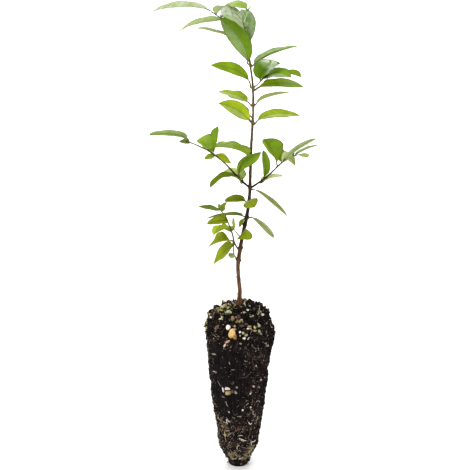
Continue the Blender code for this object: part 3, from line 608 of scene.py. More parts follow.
def ballSkin():
    # The form with its clods: noise of several sizes folded to |n|, so that they are round with creases between.
    place, normal, length = ballForm()
    heading = np.arctan2(place[..., 1], place[..., 0])
    height = place[..., 2]
    turn, half, fadeLow, low, high, fadeHigh = ballStyle["pressed"]
    pressed = np.exp(-((fromHeading(heading, turn) / math.radians(half)) ** 4))
    pressed = pressed * smoothStep(height, fadeLow, low) * (1 - smoothStep(height, high, fadeHigh))
    pressed = np.clip(pressed + 0.35 * pressed * latticeNoise(place, 4, 33), 0, 1)
    loose = smoothStep(height, 101, 113)
    relief = 0
    for size, onSide, onMound, seed in ballStyle["clods"]:
        depth = onSide * (1 - 0.75 * pressed) * (1 - loose) + onMound * loose
        relief = relief + depth * (2.2 * np.abs(latticeNoise(place, size, seed)) - 0.75)
    streaks = latticeNoise(place * [1, 1, 0.1], 1.1, 31) + latticeNoise(place * [1, 1, 0.1], 2.6, 32)
    relief = relief * smoothStep(height, 0, 3) + ballStyle["streak"] * pressed * streaks
    nearStem = np.hypot(place[..., 0] - 0.5, place[..., 1] - 7)
    relief = relief - 0.5 * np.exp(-((nearStem / 4) ** 2))
    place = place + normal * relief[..., None]
    place[..., 2] = np.maximum(place[..., 2], 0)
    radius = np.hypot(place[..., 0], place[..., 1])
    skin = {"place": place, "normal": normal, "length": length, "pressed": pressed, "loose": loose}
    skin.update(heading=heading, height=height, radius=radius, area=np.maximum(radius, 0.3) * (height > 1.5))
    return skin


def onBall(grid, heading, reach):
    # A point of the grid at a heading in radians and a share of the outline, blended between its four neighbours.
    rows, sides = grid.shape[:2]
    row = np.clip(reach, 0, 0.999) * (rows - 1)
    column = (heading + np.pi) / (2 * np.pi) * sides
    i, j = np.floor(row).astype(int), np.floor(column).astype(int)
    a, b = (row - i)[..., None], (column - j)[..., None]
    near = grid[i, j % sides] * (1 - b) + grid[i, (j + 1) % sides] * b
    far = grid[i + 1, j % sides] * (1 - b) + grid[i + 1, (j + 1) % sides] * b
    return near * (1 - a) + far * a


def nearestOf(skin, points):
    # For each point, the number of the grid's nearest vertex.
    grid = skin["place"].reshape(-1, 3)
    return np.array([np.argmin(((grid - point) ** 2).sum(1)) for point in points])


def unitLump(level):
    # An eight-faced solid, each face split in four and pushed out to the unit sphere, level times.
    verts = np.array([(1, 0, 0), (-1, 0, 0), (0, 1, 0), (0, -1, 0), (0, 0, 1), (0, 0, -1)], float)
    faces = np.array([(0, 2, 4), (2, 1, 4), (1, 3, 4), (3, 0, 4), (2, 0, 5), (1, 2, 5), (3, 1, 5), (0, 3, 5)])
    for _ in range(level):
        a, b, c = verts[faces[:, 0]], verts[faces[:, 1]], verts[faces[:, 2]]
        corners = np.stack([a, unit(a + b), unit(a + c), unit(a + b), b, unit(b + c),
                            unit(a + c), unit(b + c), c, unit(a + b), unit(b + c), unit(a + c)], 1).reshape(-1, 3)
        verts, found = np.unique(np.round(corners, 6), axis=0, return_inverse=True)
        faces = found.reshape(-1, 3)
        verts = unit(verts)
    return verts, faces


def addLumps(gathering, centres, sizes, axes, colours, rng, level, roughness, jagged):
    # Lumps at the centres: a unit lump, its radius varied by noise and corner by corner, stretched along three axes.
    verts, faces = unitLump(level)
    count = len(centres)
    seeds = rng.uniform(0, 500, (count, 1, 3))
    swell = 1 + roughness * latticeNoise(verts[None] * 1.3 + seeds, 1, 41)
    swell = swell + rng.uniform(-jagged, jagged, swell.shape)
    shaped = np.einsum("nvk,nkx->nvx", verts[None] * swell[..., None] * sizes[:, None], axes)
    places = (centres[:, None] + shaped).reshape(-1, 3)
    joined = (faces[None] + np.arange(count)[:, None, None] * len(verts)).reshape(-1, 3)
    tones = 1 + 0.4 * latticeNoise(verts[None] * 1.1 + seeds + 50, 1, 42)
    colours = (colours[:, None] * tones[..., None]).reshape(-1, 3)
    colours = np.hstack([colours, np.ones((len(colours), 1))])
    gathering.append((places, np.zeros((0, 4), int), joined, {"bitColour": colours}))


def addStrands(gathering, lines, hints, radii, colours, sides):
    # Many strands at once, each of one colour.
    verts, quads, triangles = tubes(lines, hints, radii[..., None], sides)
    each = len(verts) // len(lines)
    colours = np.repeat(np.hstack([colours, np.ones((len(lines), 1))]), each, axis=0)
    gathering.append((verts, quads, triangles, {"bitColour": colours}))


# Loose bits on the ball
bitStyle = {
    # Crumbs: how many, the radii's range, and the power that makes small ones common
    "sideCrumbs": (2500, 0.2, 0.75, 2.2), "moundCrumbs": (2700, 0.25, 1.15, 2.6),
    "chips": {"cream": 70, "moss": 100, "straw": 50, "pink": 45, "brown": 110, "plum": 90},
    # Strands: how many, points, step, wander, lift, range of radii
    "specks": (4600, 3, 0.34, 0.6, 0.45, (0.06, 0.135)), "roots": (420, 8, 0.45, 0.45, 0.5, (0.07, 0.13)),
    "longRoots": (26, 20, 0.6, 0.4, 0.5, (0.09, 0.15)), "hairs": 760, "tufts": 90,
}
bitColours = {
    "peat": (0.0075, 0.0055, 0.005), "earth": (0.030, 0.018, 0.012), "dust": (0.10, 0.075, 0.06),
    "white": (0.74, 0.69, 0.61), "shell": (0.72, 0.63, 0.55), "cream": (0.52, 0.50, 0.30), "moss": (0.32, 0.31, 0.12), "straw": (0.46, 0.38, 0.24),
    "tan": (0.45, 0.31, 0.15), "orange": (0.66, 0.41, 0.17), "pink": (0.62, 0.49, 0.40), "grey": (0.27, 0.25, 0.20),
    "brown": (0.20, 0.13, 0.06), "rust": (0.105, 0.052, 0.030), "plum": (0.075, 0.045, 0.048),
    # amber, a darker orange, is painted shade for the orange stone
    "pale": (0.47, 0.40, 0.34), "matted": (0.34, 0.27, 0.16), "amber": (0.36, 0.20, 0.07), "hair": (0.04, 0.025, 0.016), "dull": (0.17, 0.12, 0.095),
}
# Chips seen from the front: centre, width, height, roll and colour
frontChips = [
    (-4.4, -18.9, 111.9, 4.1, 5.6, -8, "orange"), (-7.0, -14.3, 114.6, 2.9, 3.1, 20, "shell"),
    (-7.4, -23.3, 107.9, 3.1, 1.5, 30, "tan"), (-9.3, -22.5, 105.4, 1.3, 2.3, -25, "pink"),
    (-14.7, -11.7, 113.4, 2.5, 3.4, -25, "dull"), (-2.8, -13.9, 115.6, 1.7, 2.1, 0, "tan"),
    (-2.5, -15.8, 114.2, 2.1, 1.8, 0, "straw"), (-4.2, -9.0, 118.5, 2.7, 3.2, 0, "brown"),
    (-0.8, -9.9, 118.2, 2.1, 1.7, 0, "brown"), (-0.8, -12.1, 116.9, 2.1, 1.7, 0, "brown"),
    (1.8, -10.6, 117.7, 2.7, 2.7, 0, "moss"), (3.9, -4.4, 120.6, 2.8, 2.1, 0, "cream"),
    (5.8, 0.5, 121.9, 1.8, 1.4, -20, "white"), (-6.7, -2.1, 120.8, 3.4, 2.0, -10, "cream"),
    (-9.2, 6.8, 121.8, 2.4, 1.7, 0, "straw"), (-7.4, 3.5, 121.9, 2.0, 1.7, 0, "moss"),
    (-10.5, 4.5, 121.2, 1.7, 1.5, 0, "cream"), (-12.1, 1.8, 120.3, 3.8, 1.1, -12, "moss"),
    (-14.4, 5.4, 120.0, 2.8, 1.0, -30, "moss"), (-5.9, 13.3, 121.9, 2.4, 2.1, 0, "cream"),
    (-4.0, 11.6, 122.3, 2.1, 2.0, 0, "moss"), (-17.4, 6.4, 118.4, 1.7, 2.0, 0, "grey"),
    (-19.8, 3.2, 116.4, 2.4, 1.8, 0, "moss"), (-18.9, -0.9, 116.2, 2.2, 1.7, 20, "pink"),
    (-11.8, -4.8, 118.5, 2.1, 1.4, 0, "pink"), (-12.7, -6.5, 117.3, 2.5, 1.5, 0, "cream"),
    (-11.0, -6.4, 118.0, 1.4, 1.4, 0, "moss"), (7.9, -13.3, 115.2, 2.8, 2.4, 0, "moss"),
    (11.1, -12.9, 114.6, 2.0, 2.0, 0, "tan"), (14.6, -10.4, 114.7, 3.0, 2.7, 0, "cream"),
    (6.3, -15.1, 114.1, 1.8, 1.3, -20, "white"), (8.0, -16.1, 113.0, 2.0, 1.5, -20, "pink"),
    (10.5, -15.4, 112.9, 3.2, 2.0, 0, "moss"), (13.9, -15.1, 111.8, 1.4, 2.7, 25, "cream"),
    (15.4, -15.9, 110.5, 1.0, 1.8, 20, "moss"), (1.0, -17.9, 112.6, 1.3, 1.7, -30, "white"),
    (3.2, -18.3, 112.1, 1.8, 1.7, 0, "cream"), (5.4, -18.8, 111.4, 2.7, 1.8, 10, "straw"),
    (3.9, -20.9, 109.9, 2.2, 1.5, 0, "white"), (6.9, -20.4, 109.8, 2.2, 1.0, 35, "white"),
    (18.0, -0.1, 117.5, 2.4, 1.5, -20, "white"), (7.8, -6.6, 119.2, 1.4, 1.3, 0, "grey"),
    (9.9, -5.4, 119.1, 1.4, 1.4, 0, "grey"), (11.4, 1.8, 120.8, 2.1, 1.8, 0, "plum"),
    (-0.3, -6.3, 120.0, 2.1, 2.0, 0, "plum"), (0.2, -8.5, 119.0, 2.1, 1.8, 0, "rust"),
    (1.9, -13.4, 115.9, 3.2, 1.8, 0, "plum"), (4.7, -12.6, 116.2, 2.4, 1.4, 0, "plum"),
    (19.6, -5.7, 113.9, 1.1, 1.1, 0, "grey"), (22.5, -4.1, 111.4, 1.1, 1.1, 0, "moss"),
    (23.2, -4.0, 110.0, 1.1, 1.1, 0, "pink"), (-12.3, 9.6, 120.7, 1.8, 2.2, 0, "grey"),
    # The amber chip sits just right of and below the orange stone and shows at its lower right: painted shade on the
    # stone
    (-2.9, -19.4, 110.6, 3.2, 4.6, 20, "amber"), (-11.0, -16.9, 68.3, 1.5, 3.1, 10, "white"),
    (-7.6, -19.3, 70.3, 3.2, 2.1, -8, "pink"), (-7.3, -19.1, 66.8, 3.5, 2.9, 10, "tan"),
    (-4.1, -20.4, 68.5, 1.8, 2.4, 0, "rust"), (-2.0, -20.5, 67.8, 1.3, 2.7, 25, "grey"),
    (-0.9, -20.9, 72.0, 1.1, 1.3, 0, "grey"), (3.1, -18.3, 52.7, 1.2, 1.2, 0, "white"),
    (8.7, -17.1, 54.7, 1.0, 1.0, 0, "pink"), (-6.7, -17.5, 50.7, 1.0, 1.0, 0, "pink"),
    (0.4, -16.4, 37.0, 2.4, 2.2, 0, "rust"), (-11.2, -11.2, 33.5, 1.5, 2.1, 0, "rust"),
    (-9.4, -12.0, 29.3, 1.5, 2.2, 0, "tan"), (-17.1, -15.1, 94.5, 2.9, 1.0, 0, "grey"),
    (-16.6, -13.4, 80.4, 3.2, 1.0, 0, "grey"), (10.6, -18.0, 71.0, 1.3, 1.1, 0, "pink"),
    (16.2, -13.2, 73.5, 1.0, 1.4, 0, "pink"), (8.4, -18.4, 65.8, 1.1, 1.5, 0, "pink"),
    (19.5, -13.6, 100.9, 1.3, 1.4, 0, "pink"), (18.4, -15.7, 103.1, 1.1, 1.1, 0, "pink"),
    (12.4, -18.4, 87.4, 1.0, 1.3, 0, "pink"),
]
# Roots seen from the front: the places they pass, radius and colour
frontStrands = [
    ([(-8.9, -17.4, 58.9), (-8.2, -17.6, 57.1), (-7.2, -17.9, 55.4)], 0.20, "pale"),
    ([(-9.1, -17.1, 58.1), (-9.7, -16.8, 58.9)], 0.15, "pale"),
    ([(10.9, -15.5, 51.0), (9.9, -15.8, 49.5), (10.8, -14.9, 47.5), (12.1, -13.9, 47.8)], 0.23, "pale"),
    ([(-8.4, -15.1, 43.9), (-7.0, -15.8, 42.6), (-6.2, -16.2, 41.9)], 0.23, "white"),
    ([(-8.7, -14.8, 43.1), (-8.2, -14.8, 41.2), (-7.5, -15.0, 39.7)], 0.20, "white"),
    ([(-7.7, -15.8, 44.8), (-5.7, -16.5, 42.4)], 0.18, "white"),
    ([(-0.8, -18.2, 47.5), (0.6, -18.0, 47.8), (2.5, -17.6, 47.5)], 0.21, "straw"),
    ([(1.2, -17.9, 47.5), (1.4, -17.6, 46.1)], 0.19, "straw"),
    ([(7.3, -15.3, 40.9), (8.6, -14.6, 39.4), (9.6, -14.2, 40.2)], 0.26, "white"),
    ([(9.9, -14.3, 41.7), (11.0, -13.8, 42.9)], 0.18, "pale"),
    ([(13.6, -10.8, 43.6), (13.1, -11.0, 41.7), (12.1, -12.1, 40.4)], 0.32, "straw"),
    ([(-7.9, -13.1, 28.6), (-6.9, -14.2, 31.0), (-5.4, -15.2, 31.8)], 0.24, "straw"),
    ([(-9.9, -12.1, 32.3), (-9.6, -12.0, 29.8), (-9.1, -12.1, 27.6)], 0.30, "straw"),
    ([(0.0, -15.7, 30.3), (1.5, -15.5, 31.0), (3.1, -15.1, 30.3)], 0.29, "straw"),
    ([(0.4, -15.5, 28.3), (3.0, -14.7, 27.1), (5.8, -13.9, 25.1)], 0.26, "white"),
    ([(1.7, -15.0, 26.8), (4.1, -14.3, 25.3)], 0.17, "white"),
    ([(8.9, -12.4, 22.9), (10.6, -10.8, 22.9), (12.5, -7.6, 22.6)], 0.32, "white"),
    ([(9.3, -11.7, 20.2), (9.9, -11.5, 22.1)], 0.38, "straw"),
    ([(-1.0, -14.5, 18.9), (-0.9, -14.8, 21.1), (0.1, -14.8, 22.1), (0.9, -14.6, 21.6)], 0.27, "straw"),
    ([(-8.0, -9.7, 12.7), (-6.2, -10.1, 10.3), (-4.9, -10.0, 8.3), (-3.8, -9.9, 6.9)], 0.27, "straw"),
    ([(-6.8, -11.1, 13.9), (-4.8, -11.1, 10.6), (-4.2, -10.6, 9.0)], 0.21, "straw"),
    ([(0.0, -10.4, 6.7), (1.4, -11.0, 8.5), (2.9, -11.0, 9.4)], 0.24, "white"),
    ([(-4.2, -10.6, 8.7), (-1.6, -11.5, 9.2)], 0.23, "straw"),
    ([(14.8, 12.8, 119.4), (14.5, 4.2, 120.2), (13.8, -1.1, 119.3)], 0.23, "straw"),
    ([(16.1, 3.5, 119.4), (14.7, 0.2, 119.3), (13.2, -2.8, 119.0)], 0.18, "straw"),
    ([(13.7, 4.9, 120.6), (15.4, 1.6, 119.3), (16.5, 2.1, 118.9)], 0.17, "straw"),
    ([(4.0, 7.3, 122.6), (5.1, 4.9, 122.4)], 0.18, "white"),
    ([(16.1, -18.5, 106.1), (17.7, -16.8, 104.1), (19.8, -13.6, 102.9)], 0.18, "pale"),
    ([(18.1, -16.0, 101.4), (19.4, -14.1, 101.9)], 0.20, "pale"),
    ([(-6.7, -21.9, 92.3), (-5.8, -21.8, 90.1)], 0.17, "pale"),
    ([(-11.6, -15.7, 62.3), (-9.8, -17.0, 61.8)], 0.15, "pale"),
    ([(-14.9, -9.1, 42.6), (-13.8, -10.2, 41.2), (-12.7, -11.0, 40.2)], 0.26, "straw"),
    ([(-12.0, -11.0, 36.5), (-10.5, -12.0, 35.2)], 0.26, "straw"),
    ([(5.6, -18.2, 56.4), (6.7, -18.1, 58.1)], 0.20, "pale"),
    ([(12.5, -15.2, 57.1), (14.0, -13.8, 57.6), (15.4, -11.2, 55.4)], 0.23, "pale"),
    ([(8.2, -10.9, 14.6), (9.6, -11.2, 18.9)], 0.23, "white"),
]
# Mats of roots: centre, reach, strands and colour
mats = [
    (-1.4, -13.9, 14.3, 2.3, 22, "matted"), (9.7, -10.9, 19.4, 1.6, 12, "matted"), (8.4, -10.8, 16.0, 1.6, 14, "matted"),
    (7.1, -10.4, 12.0, 1.6, 12, "matted"), (4.7, -10.5, 9.0, 2.2, 12, "matted"), (-11.6, -12.6, 40.4, 2.2, 16, "matted"),
    (-10.0, -12.9, 36.2, 1.6, 7, "tan"), (0.5, -16.4, 37.2, 1.5, 8, "rust"), (9, 10, 15, 2.6, 24, "matted"),
    (-9, 8, 9, 2.4, 20, "matted"), (14, 9, 36, 2.2, 14, "matted"), (-16, 4, 30, 2.0, 12, "tan"), (1, 13, 12, 2.2, 16, "matted"),
    (-8.5, 2, 121.5, 3.2, 34, "moss"), (-5, 11, 122, 2.6, 22, "moss"), (-15, 5, 119.5, 2.6, 14, "straw"),
]


def scatter(skin, rng, count, weight):
    # Vertices of the grid picked in proportion to the area round each, times the weight.
    chance = (skin["area"] * weight).ravel()
    return rng.choice(chance.size, count, p=chance / chance.sum())


def tinted(rng, name, count, spread=0.25):
    # The named colour, lighter or darker for each bit, and a little off in hue.
    shade = 1 + rng.uniform(-spread, spread, (count, 1))
    return np.array(bitColours[name]) * shade * (1 + rng.uniform(-0.05, 0.05, (count, 3)))


def turned(rng, count):
    # Three square axes for each bit, turned at random.
    first = unit(rng.normal(size=(count, 3)))
    second = unit(np.cross(first, rng.normal(size=(count, 3))))
    return np.stack([first, second, np.cross(first, second)], 1)


def layCrumbs(skin, rng, bits):
    crumbs = []
    places, normals = skin["place"].reshape(-1, 3), skin["normal"].reshape(-1, 3)
    for (count, low, high, power), weight in (
        (bitStyle["sideCrumbs"], (1 - 0.9 * skin["pressed"]) * (1 - 0.5 * skin["loose"])),
        (bitStyle["moundCrumbs"], skin["loose"]),
    ):
        picked = scatter(skin, rng, count, weight)
        size = low + (high - low) * rng.uniform(0, 1, (count, 1)) ** power
        sizes = size * np.hstack([np.ones((count, 1)), rng.uniform(0.35, 1, (count, 2))])
        kind = rng.uniform(0, 1, (count, 1))
        colours = np.where(kind < 0.74, tinted(rng, "peat", count, 0.5),
                           np.where(kind < 0.95, tinted(rng, "earth", count, 0.5), tinted(rng, "dust", count, 0.4)))
        centres = places[picked] + normals[picked] * size * rng.uniform(-0.3, 0.5, (count, 1))
        centres[:, 2] = np.maximum(centres[:, 2], sizes.max(1) * 1.4)
        addLumps(crumbs, centres, sizes, turned(rng, count), colours, rng, 1, 0.4, 0.3)
    makePiece("crumbs", crumbs, bits).data.shade_flat()


def layChips(skin, rng, bits):
    chips = []
    places, normals = skin["place"].reshape(-1, 3), skin["normal"].reshape(-1, 3)
    clusters = smoothStep(latticeNoise(skin["place"], 6, 51), -0.1, 0.6)
    unseen = 1 - 0.75 * smoothStep(-skin["place"][..., 1], -4, 8)
    where = skin["loose"] * (0.12 + clusters) * unseen + 0.012 * (1 - skin["pressed"])
    for name, count in bitStyle["chips"].items():
        picked = scatter(skin, rng, count, where)
        size = 0.3 + 0.95 * rng.uniform(0, 1, (count, 1)) ** 2
        sizes = size * np.hstack([np.ones((count, 1)), rng.uniform(0.4, 1, (count, 2))])
        centres = places[picked] + normals[picked] * 0.3
        addLumps(chips, centres, sizes, turned(rng, count), tinted(rng, name, count), rng, 1, 0.4, 0.25)
    # A chip of the table faces half outwards and half to the front: its side is level, and its roll turns it
    centres = np.array([chip[:3] for chip in frontChips])
    picked = nearestOf(skin, centres)
    facing = unit(normals[picked] + 1.5 * np.array([0, -0.94, 0.34]))
    side = unit(np.cross([0, 0, 1], facing))
    up = np.cross(facing, side)
    roll = np.radians([chip[5] for chip in frontChips])[:, None]
    axes = np.stack([side * np.cos(roll) + up * np.sin(roll), up * np.cos(roll) - side * np.sin(roll), facing], 1)
    sizes = np.array([(chip[3], chip[4], 0.75 * min(chip[3:5])) for chip in frontChips]) / 2 * 1.1
    colours = np.vstack([tinted(rng, chip[6], 1, 0.1) for chip in frontChips])
    centres = places[picked] + normals[picked] * 0.3 * sizes[:, 2:]
    addLumps(chips, centres, sizes, axes, colours, rng, 2, 0.35, 0.06)
    makePiece("chips", chips, bits)


def growRoots(skin, rng, bits):
    # Roots: strands that wander over the surface, and dive into it at both ends.
    place, normal, radius = skin["place"], skin["normal"], skin["radius"]
    heading, height, pressed, loose = skin["heading"], skin["height"], skin["pressed"], skin["loose"]
    rows, sides = place.shape[:2]

    def wandering(starts, points, step, wander, lift):
        count = len(starts)
        row, column = np.divmod(starts, sides)
        turn = rng.uniform(-1.2, 1.2, (count, 1)) + np.cumsum(rng.normal(0, wander, (count, points)), axis=1)
        reach = row[:, None] / (rows - 1) + np.cumsum(np.cos(turn), 1) * step / skin["length"]
        around = column[:, None] / sides * 2 * np.pi - np.pi
        around = around + np.cumsum(np.sin(turn), 1) * step / np.maximum(radius.ravel()[starts], 4)[:, None]
        arch = np.sin(np.linspace(0, np.pi, points))[None, :, None]
        hints = onBall(normal, around, np.clip(reach, 0.02, 0.93))
        lines = onBall(place, around, np.clip(reach, 0.02, 0.93)) + hints * (lift * arch - 0.2)
        lines[..., 2] = np.maximum(lines[..., 2], 0.3)
        return lines + rng.normal(0, 0.03, lines.shape), hints

    right = smoothStep(np.pi - fromHeading(heading, -160), 0.7, 1.5)
    low = 1 - smoothStep(height, 26, 66)
    where = (1 - 0.96 * pressed) * (0.12 + 1.3 * right * (1 - loose) + 0.85 * low + 0.35 * loose)
    where = where * (0.15 + 0.85 * smoothStep(height, 4, 9))
    specks, roots = [], []
    for gathering, name, names in (
        (specks, "specks", ("pale", "pink", "dull", "earth")), (roots, "roots", ("pale", "straw", "pink", "earth")),
        (roots, "longRoots", ("dull", "brown")),
    ):
        count, points, step, wander, lift, thick = bitStyle[name]
        lines, hints = wandering(scatter(skin, rng, count, where), points, step, wander, lift)
        radii = rng.uniform(*thick, (count, 1)) * np.linspace(1, 0.65, points)[None]
        kind = rng.integers(0, len(names), (count, 1))
        colours = sum(np.where(kind == k, tinted(rng, tone, count, 0.5), 0) for k, tone in enumerate(names))
        addStrands(gathering, lines, hints, radii, colours, 4)
    for x, y, z, spread, count, name in mats:
        away = np.linalg.norm(place - [x, y, z], axis=-1)
        starts = scatter(skin, rng, count, np.exp(-((away / spread) ** 2)))
        lines, hints = wandering(starts, 8, 0.45, 0.7, 0.9)
        radii = rng.uniform(0.08, 0.2, (count, 1)) * np.ones((1, 8))
        addStrands(roots, lines, hints, radii, tinted(rng, name, count, 0.75), 4)
    for points, thick, name in frontStrands:
        line = routeLine(points, 0.45)
        picked = nearestOf(skin, line)
        hints = normal.reshape(-1, 3)[picked]
        out = np.einsum("ij,ij->i", place.reshape(-1, 3)[picked] - line, hints)
        out = np.convolve(np.pad(out, 2, "edge"), np.ones(5) / 5, "valid")
        arch = np.sin(np.linspace(0, np.pi, len(line))) * 0.35
        line = line + hints * (out + arch)[:, None]
        radii = np.full((1, len(line)), thick) * np.linspace(1, 0.8, len(line))
        addStrands(roots, line[None], hints[None], radii, tinted(rng, name, 1, 0.1), 6)
    # Hairs stand out of the peat in short curls; the paler tufts at its lower left hang off it
    foot = 2.5 * (1 - smoothStep(height, 4, 9))
    tuftPlace = np.exp(-((fromHeading(heading, 190) / 0.3) ** 2)) * np.exp(-(((height - 24) / 9) ** 2))
    for count, weight, reach, thick, name in (
        (bitStyle["hairs"], 1 - 0.95 * pressed + 0.9 * loose + foot, (0.6, 2.0), (0.05, 0.12), "hair"),
        (bitStyle["tufts"], tuftPlace + 0.004, (0.7, 1.8), (0.07, 0.13), "grey"),
    ):
        picked = scatter(skin, rng, count, weight)
        outward = unit(normal.reshape(-1, 3)[picked] + rng.normal(0, 0.7, (count, 3)))
        bend = rng.normal(0, 0.7, (count, 1, 3))
        t = np.linspace(0, 1, 5)[None, :, None]
        line = place.reshape(-1, 3)[picked][:, None]
        line = line + outward[:, None] * rng.uniform(*reach, (count, 1, 1)) * (t - 0.1) + bend * t**2
        line[..., 2] = np.maximum(line[..., 2], 0.3)
        hints = np.broadcast_to(unit(rng.normal(size=(count, 1, 3))), line.shape)
        radii = rng.uniform(*thick, (count, 1)) * (1 - 0.6 * t[..., 0])
        addStrands(specks, line, hints, radii, tinted(rng, name, count, 0.6), 4)
    makePiece("specks", specks, bits)
    makePiece("roots", roots, bits)


def growBall(peat, bits):
    # The peat body, then all that lies on it.
    skin = ballSkin()
    rows, sides = skin["place"].shape[:2]
    i = np.arange(rows - 1)[:, None] * sides
    j = np.arange(sides)
    k = (j + 1) % sides
    quads = np.stack([i + j, i + k, i + sides + k, i + sides + j], -1).reshape(-1, 4)
    verts = np.vstack([skin["place"].reshape(-1, 3), skin["place"][0].mean(0), skin["place"][-1].mean(0)])
    last = (rows - 1) * sides
    triangles = np.vstack([np.stack([k, j, np.full(sides, rows * sides)], 1),
                           np.stack([last + j, last + k, np.full(sides, rows * sides + 1)], 1)])
    gathering = []
    addSurface(gathering, verts, quads, triangles, pressed=np.append(skin["pressed"].ravel(), [0, 0]))
    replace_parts(makePiece("rootBall", gathering, peat), "root_ball")
    rng = np.random.default_rng(5)
    layCrumbs(skin, rng, bits)
    layChips(skin, rng, bits)
    growRoots(skin, rng, bits)


# Materials
def wire(tree, value, socket):
    # Links a socket, or sets a number or colour.
    if isinstance(value, bpy.types.NodeSocket):
        tree.links.new(value, socket)
    else:
        socket.default_value = value


def calc(tree, operation, *values):
    made = tree.nodes.new("ShaderNodeMath")
    made.operation = operation
    for value, socket in zip(values, made.inputs):
        wire(tree, value, socket)
    return made.outputs["Value"]


def ramped(tree, value, low, high, start=0.0, end=1.0):
    # A smooth step of the value from start to end.
    made = tree.nodes.new("ShaderNodeMapRange")
    made.interpolation_type = "SMOOTHSTEP"
    for name, item in (("Value", value), ("From Min", low), ("From Max", high), ("To Min", start), ("To Max", end)):
        wire(tree, item, made.inputs[name])
    return made.outputs["Result"]


def blend(tree, share, first, second, kind="MIX"):
    made = tree.nodes.new("ShaderNodeMix")
    made.data_type = "RGBA"
    made.blend_type = kind
    for value, socket in ((share, made.inputs[0]), (first, made.inputs[6]), (second, made.inputs[7])):
        wire(tree, (*value, 1.0) if isinstance(value, tuple) and len(value) == 3 else value, socket)
    return made.outputs[2]


def attribute(tree, name):
    made = tree.nodes.new("ShaderNodeAttribute")
    made.attribute_name = name
    return made.outputs["Color" if name.endswith("Colour") else "Fac"]


def noise(tree, place, scale, detail=4.0, roughness=0.6):
    made = tree.nodes.new("ShaderNodeTexNoise")
    for name, value in (("Vector", place), ("Scale", scale), ("Detail", detail), ("Roughness", roughness)):
        wire(tree, value, made.inputs[name])
    return made.outputs["Fac"]


def newGroup(name, inputs, outputs):
    # A node group with its named sockets, and its input and output nodes.
    tree = bpy.data.node_groups.new(name, "ShaderNodeTree")
    for label, kind in inputs:
        tree.interface.new_socket(name=label, in_out="INPUT", socket_type=kind)
    for label, kind in outputs:
        tree.interface.new_socket(name=label, in_out="OUTPUT", socket_type=kind)
    return tree, tree.nodes.new("NodeGroupInput").outputs, tree.nodes.new("NodeGroupOutput").inputs


def mottleGroup():
    # Mottle: the colour times a soft noise that runs from Dark to Light.
    tree, given, out = newGroup(
        "mottle",
        [("Place", "NodeSocketVector"), ("Colour", "NodeSocketColor"), ("Scale", "NodeSocketFloat"),
         ("Dark", "NodeSocketFloat"), ("Light", "NodeSocketFloat")],
        [("Colour", "NodeSocketColor"), ("Mask", "NodeSocketFloat")],
    )
    mask = noise(tree, given["Place"], given["Scale"])
    factor = ramped(tree, mask, 0.32, 0.68, given["Dark"], given["Light"])
    grey = tree.nodes.new("ShaderNodeCombineColor")
    for socket in grey.inputs:
        wire(tree, factor, socket)
    wire(tree, blend(tree, 1.0, given["Colour"], grey.outputs["Color"], "MULTIPLY"), out["Colour"])
    wire(tree, mask, out["Mask"])
    return tree


def pitsGroup():
    # Pits: a fine relief of grains and of pits between them, as a height.
    tree, given, out = newGroup(
        "pits", [("Place", "NodeSocketVector"), ("Scale", "NodeSocketFloat")], [("Height", "NodeSocketFloat")])
    cells = tree.nodes.new("ShaderNodeTexVoronoi")
    wire(tree, given["Place"], cells.inputs["Vector"])
    wire(tree, given["Scale"], cells.inputs["Scale"])
    rough = noise(tree, given["Place"], calc(tree, "MULTIPLY", given["Scale"], 2.3))
    wire(tree, calc(tree, "ADD", cells.outputs["Distance"], calc(tree, "MULTIPLY", rough, 0.6)), out["Height"])
    return tree


groups = {"mottle": mottleGroup(), "pits": pitsGroup()}


def useGroup(tree, name, output, **values):
    made = tree.nodes.new("ShaderNodeGroup")
    made.node_tree = groups[name]
    for label, value in values.items():
        wire(tree, value, made.inputs[label])
    return made.outputs[output]


def newMaterial(name, roughness, specular):
    made = bpy.data.materials.new(name)
    made.use_nodes = True
    tree = made.node_tree
    shader = tree.nodes["Principled BSDF"]
    shader.inputs["Roughness"].default_value = roughness
    shader.inputs["Specular IOR Level"].default_value = specular
    return made, tree, shader, tree.nodes.new("ShaderNodeTexCoord").outputs["Object"]


def bumped(tree, shader, height, distance, strength):
    made = tree.nodes.new("ShaderNodeBump")
    made.inputs["Distance"].default_value = distance * mm
    made.inputs["Strength"].default_value = strength
    wire(tree, height, made.inputs["Height"])
    wire(tree, made.outputs["Normal"], shader.inputs["Normal"])


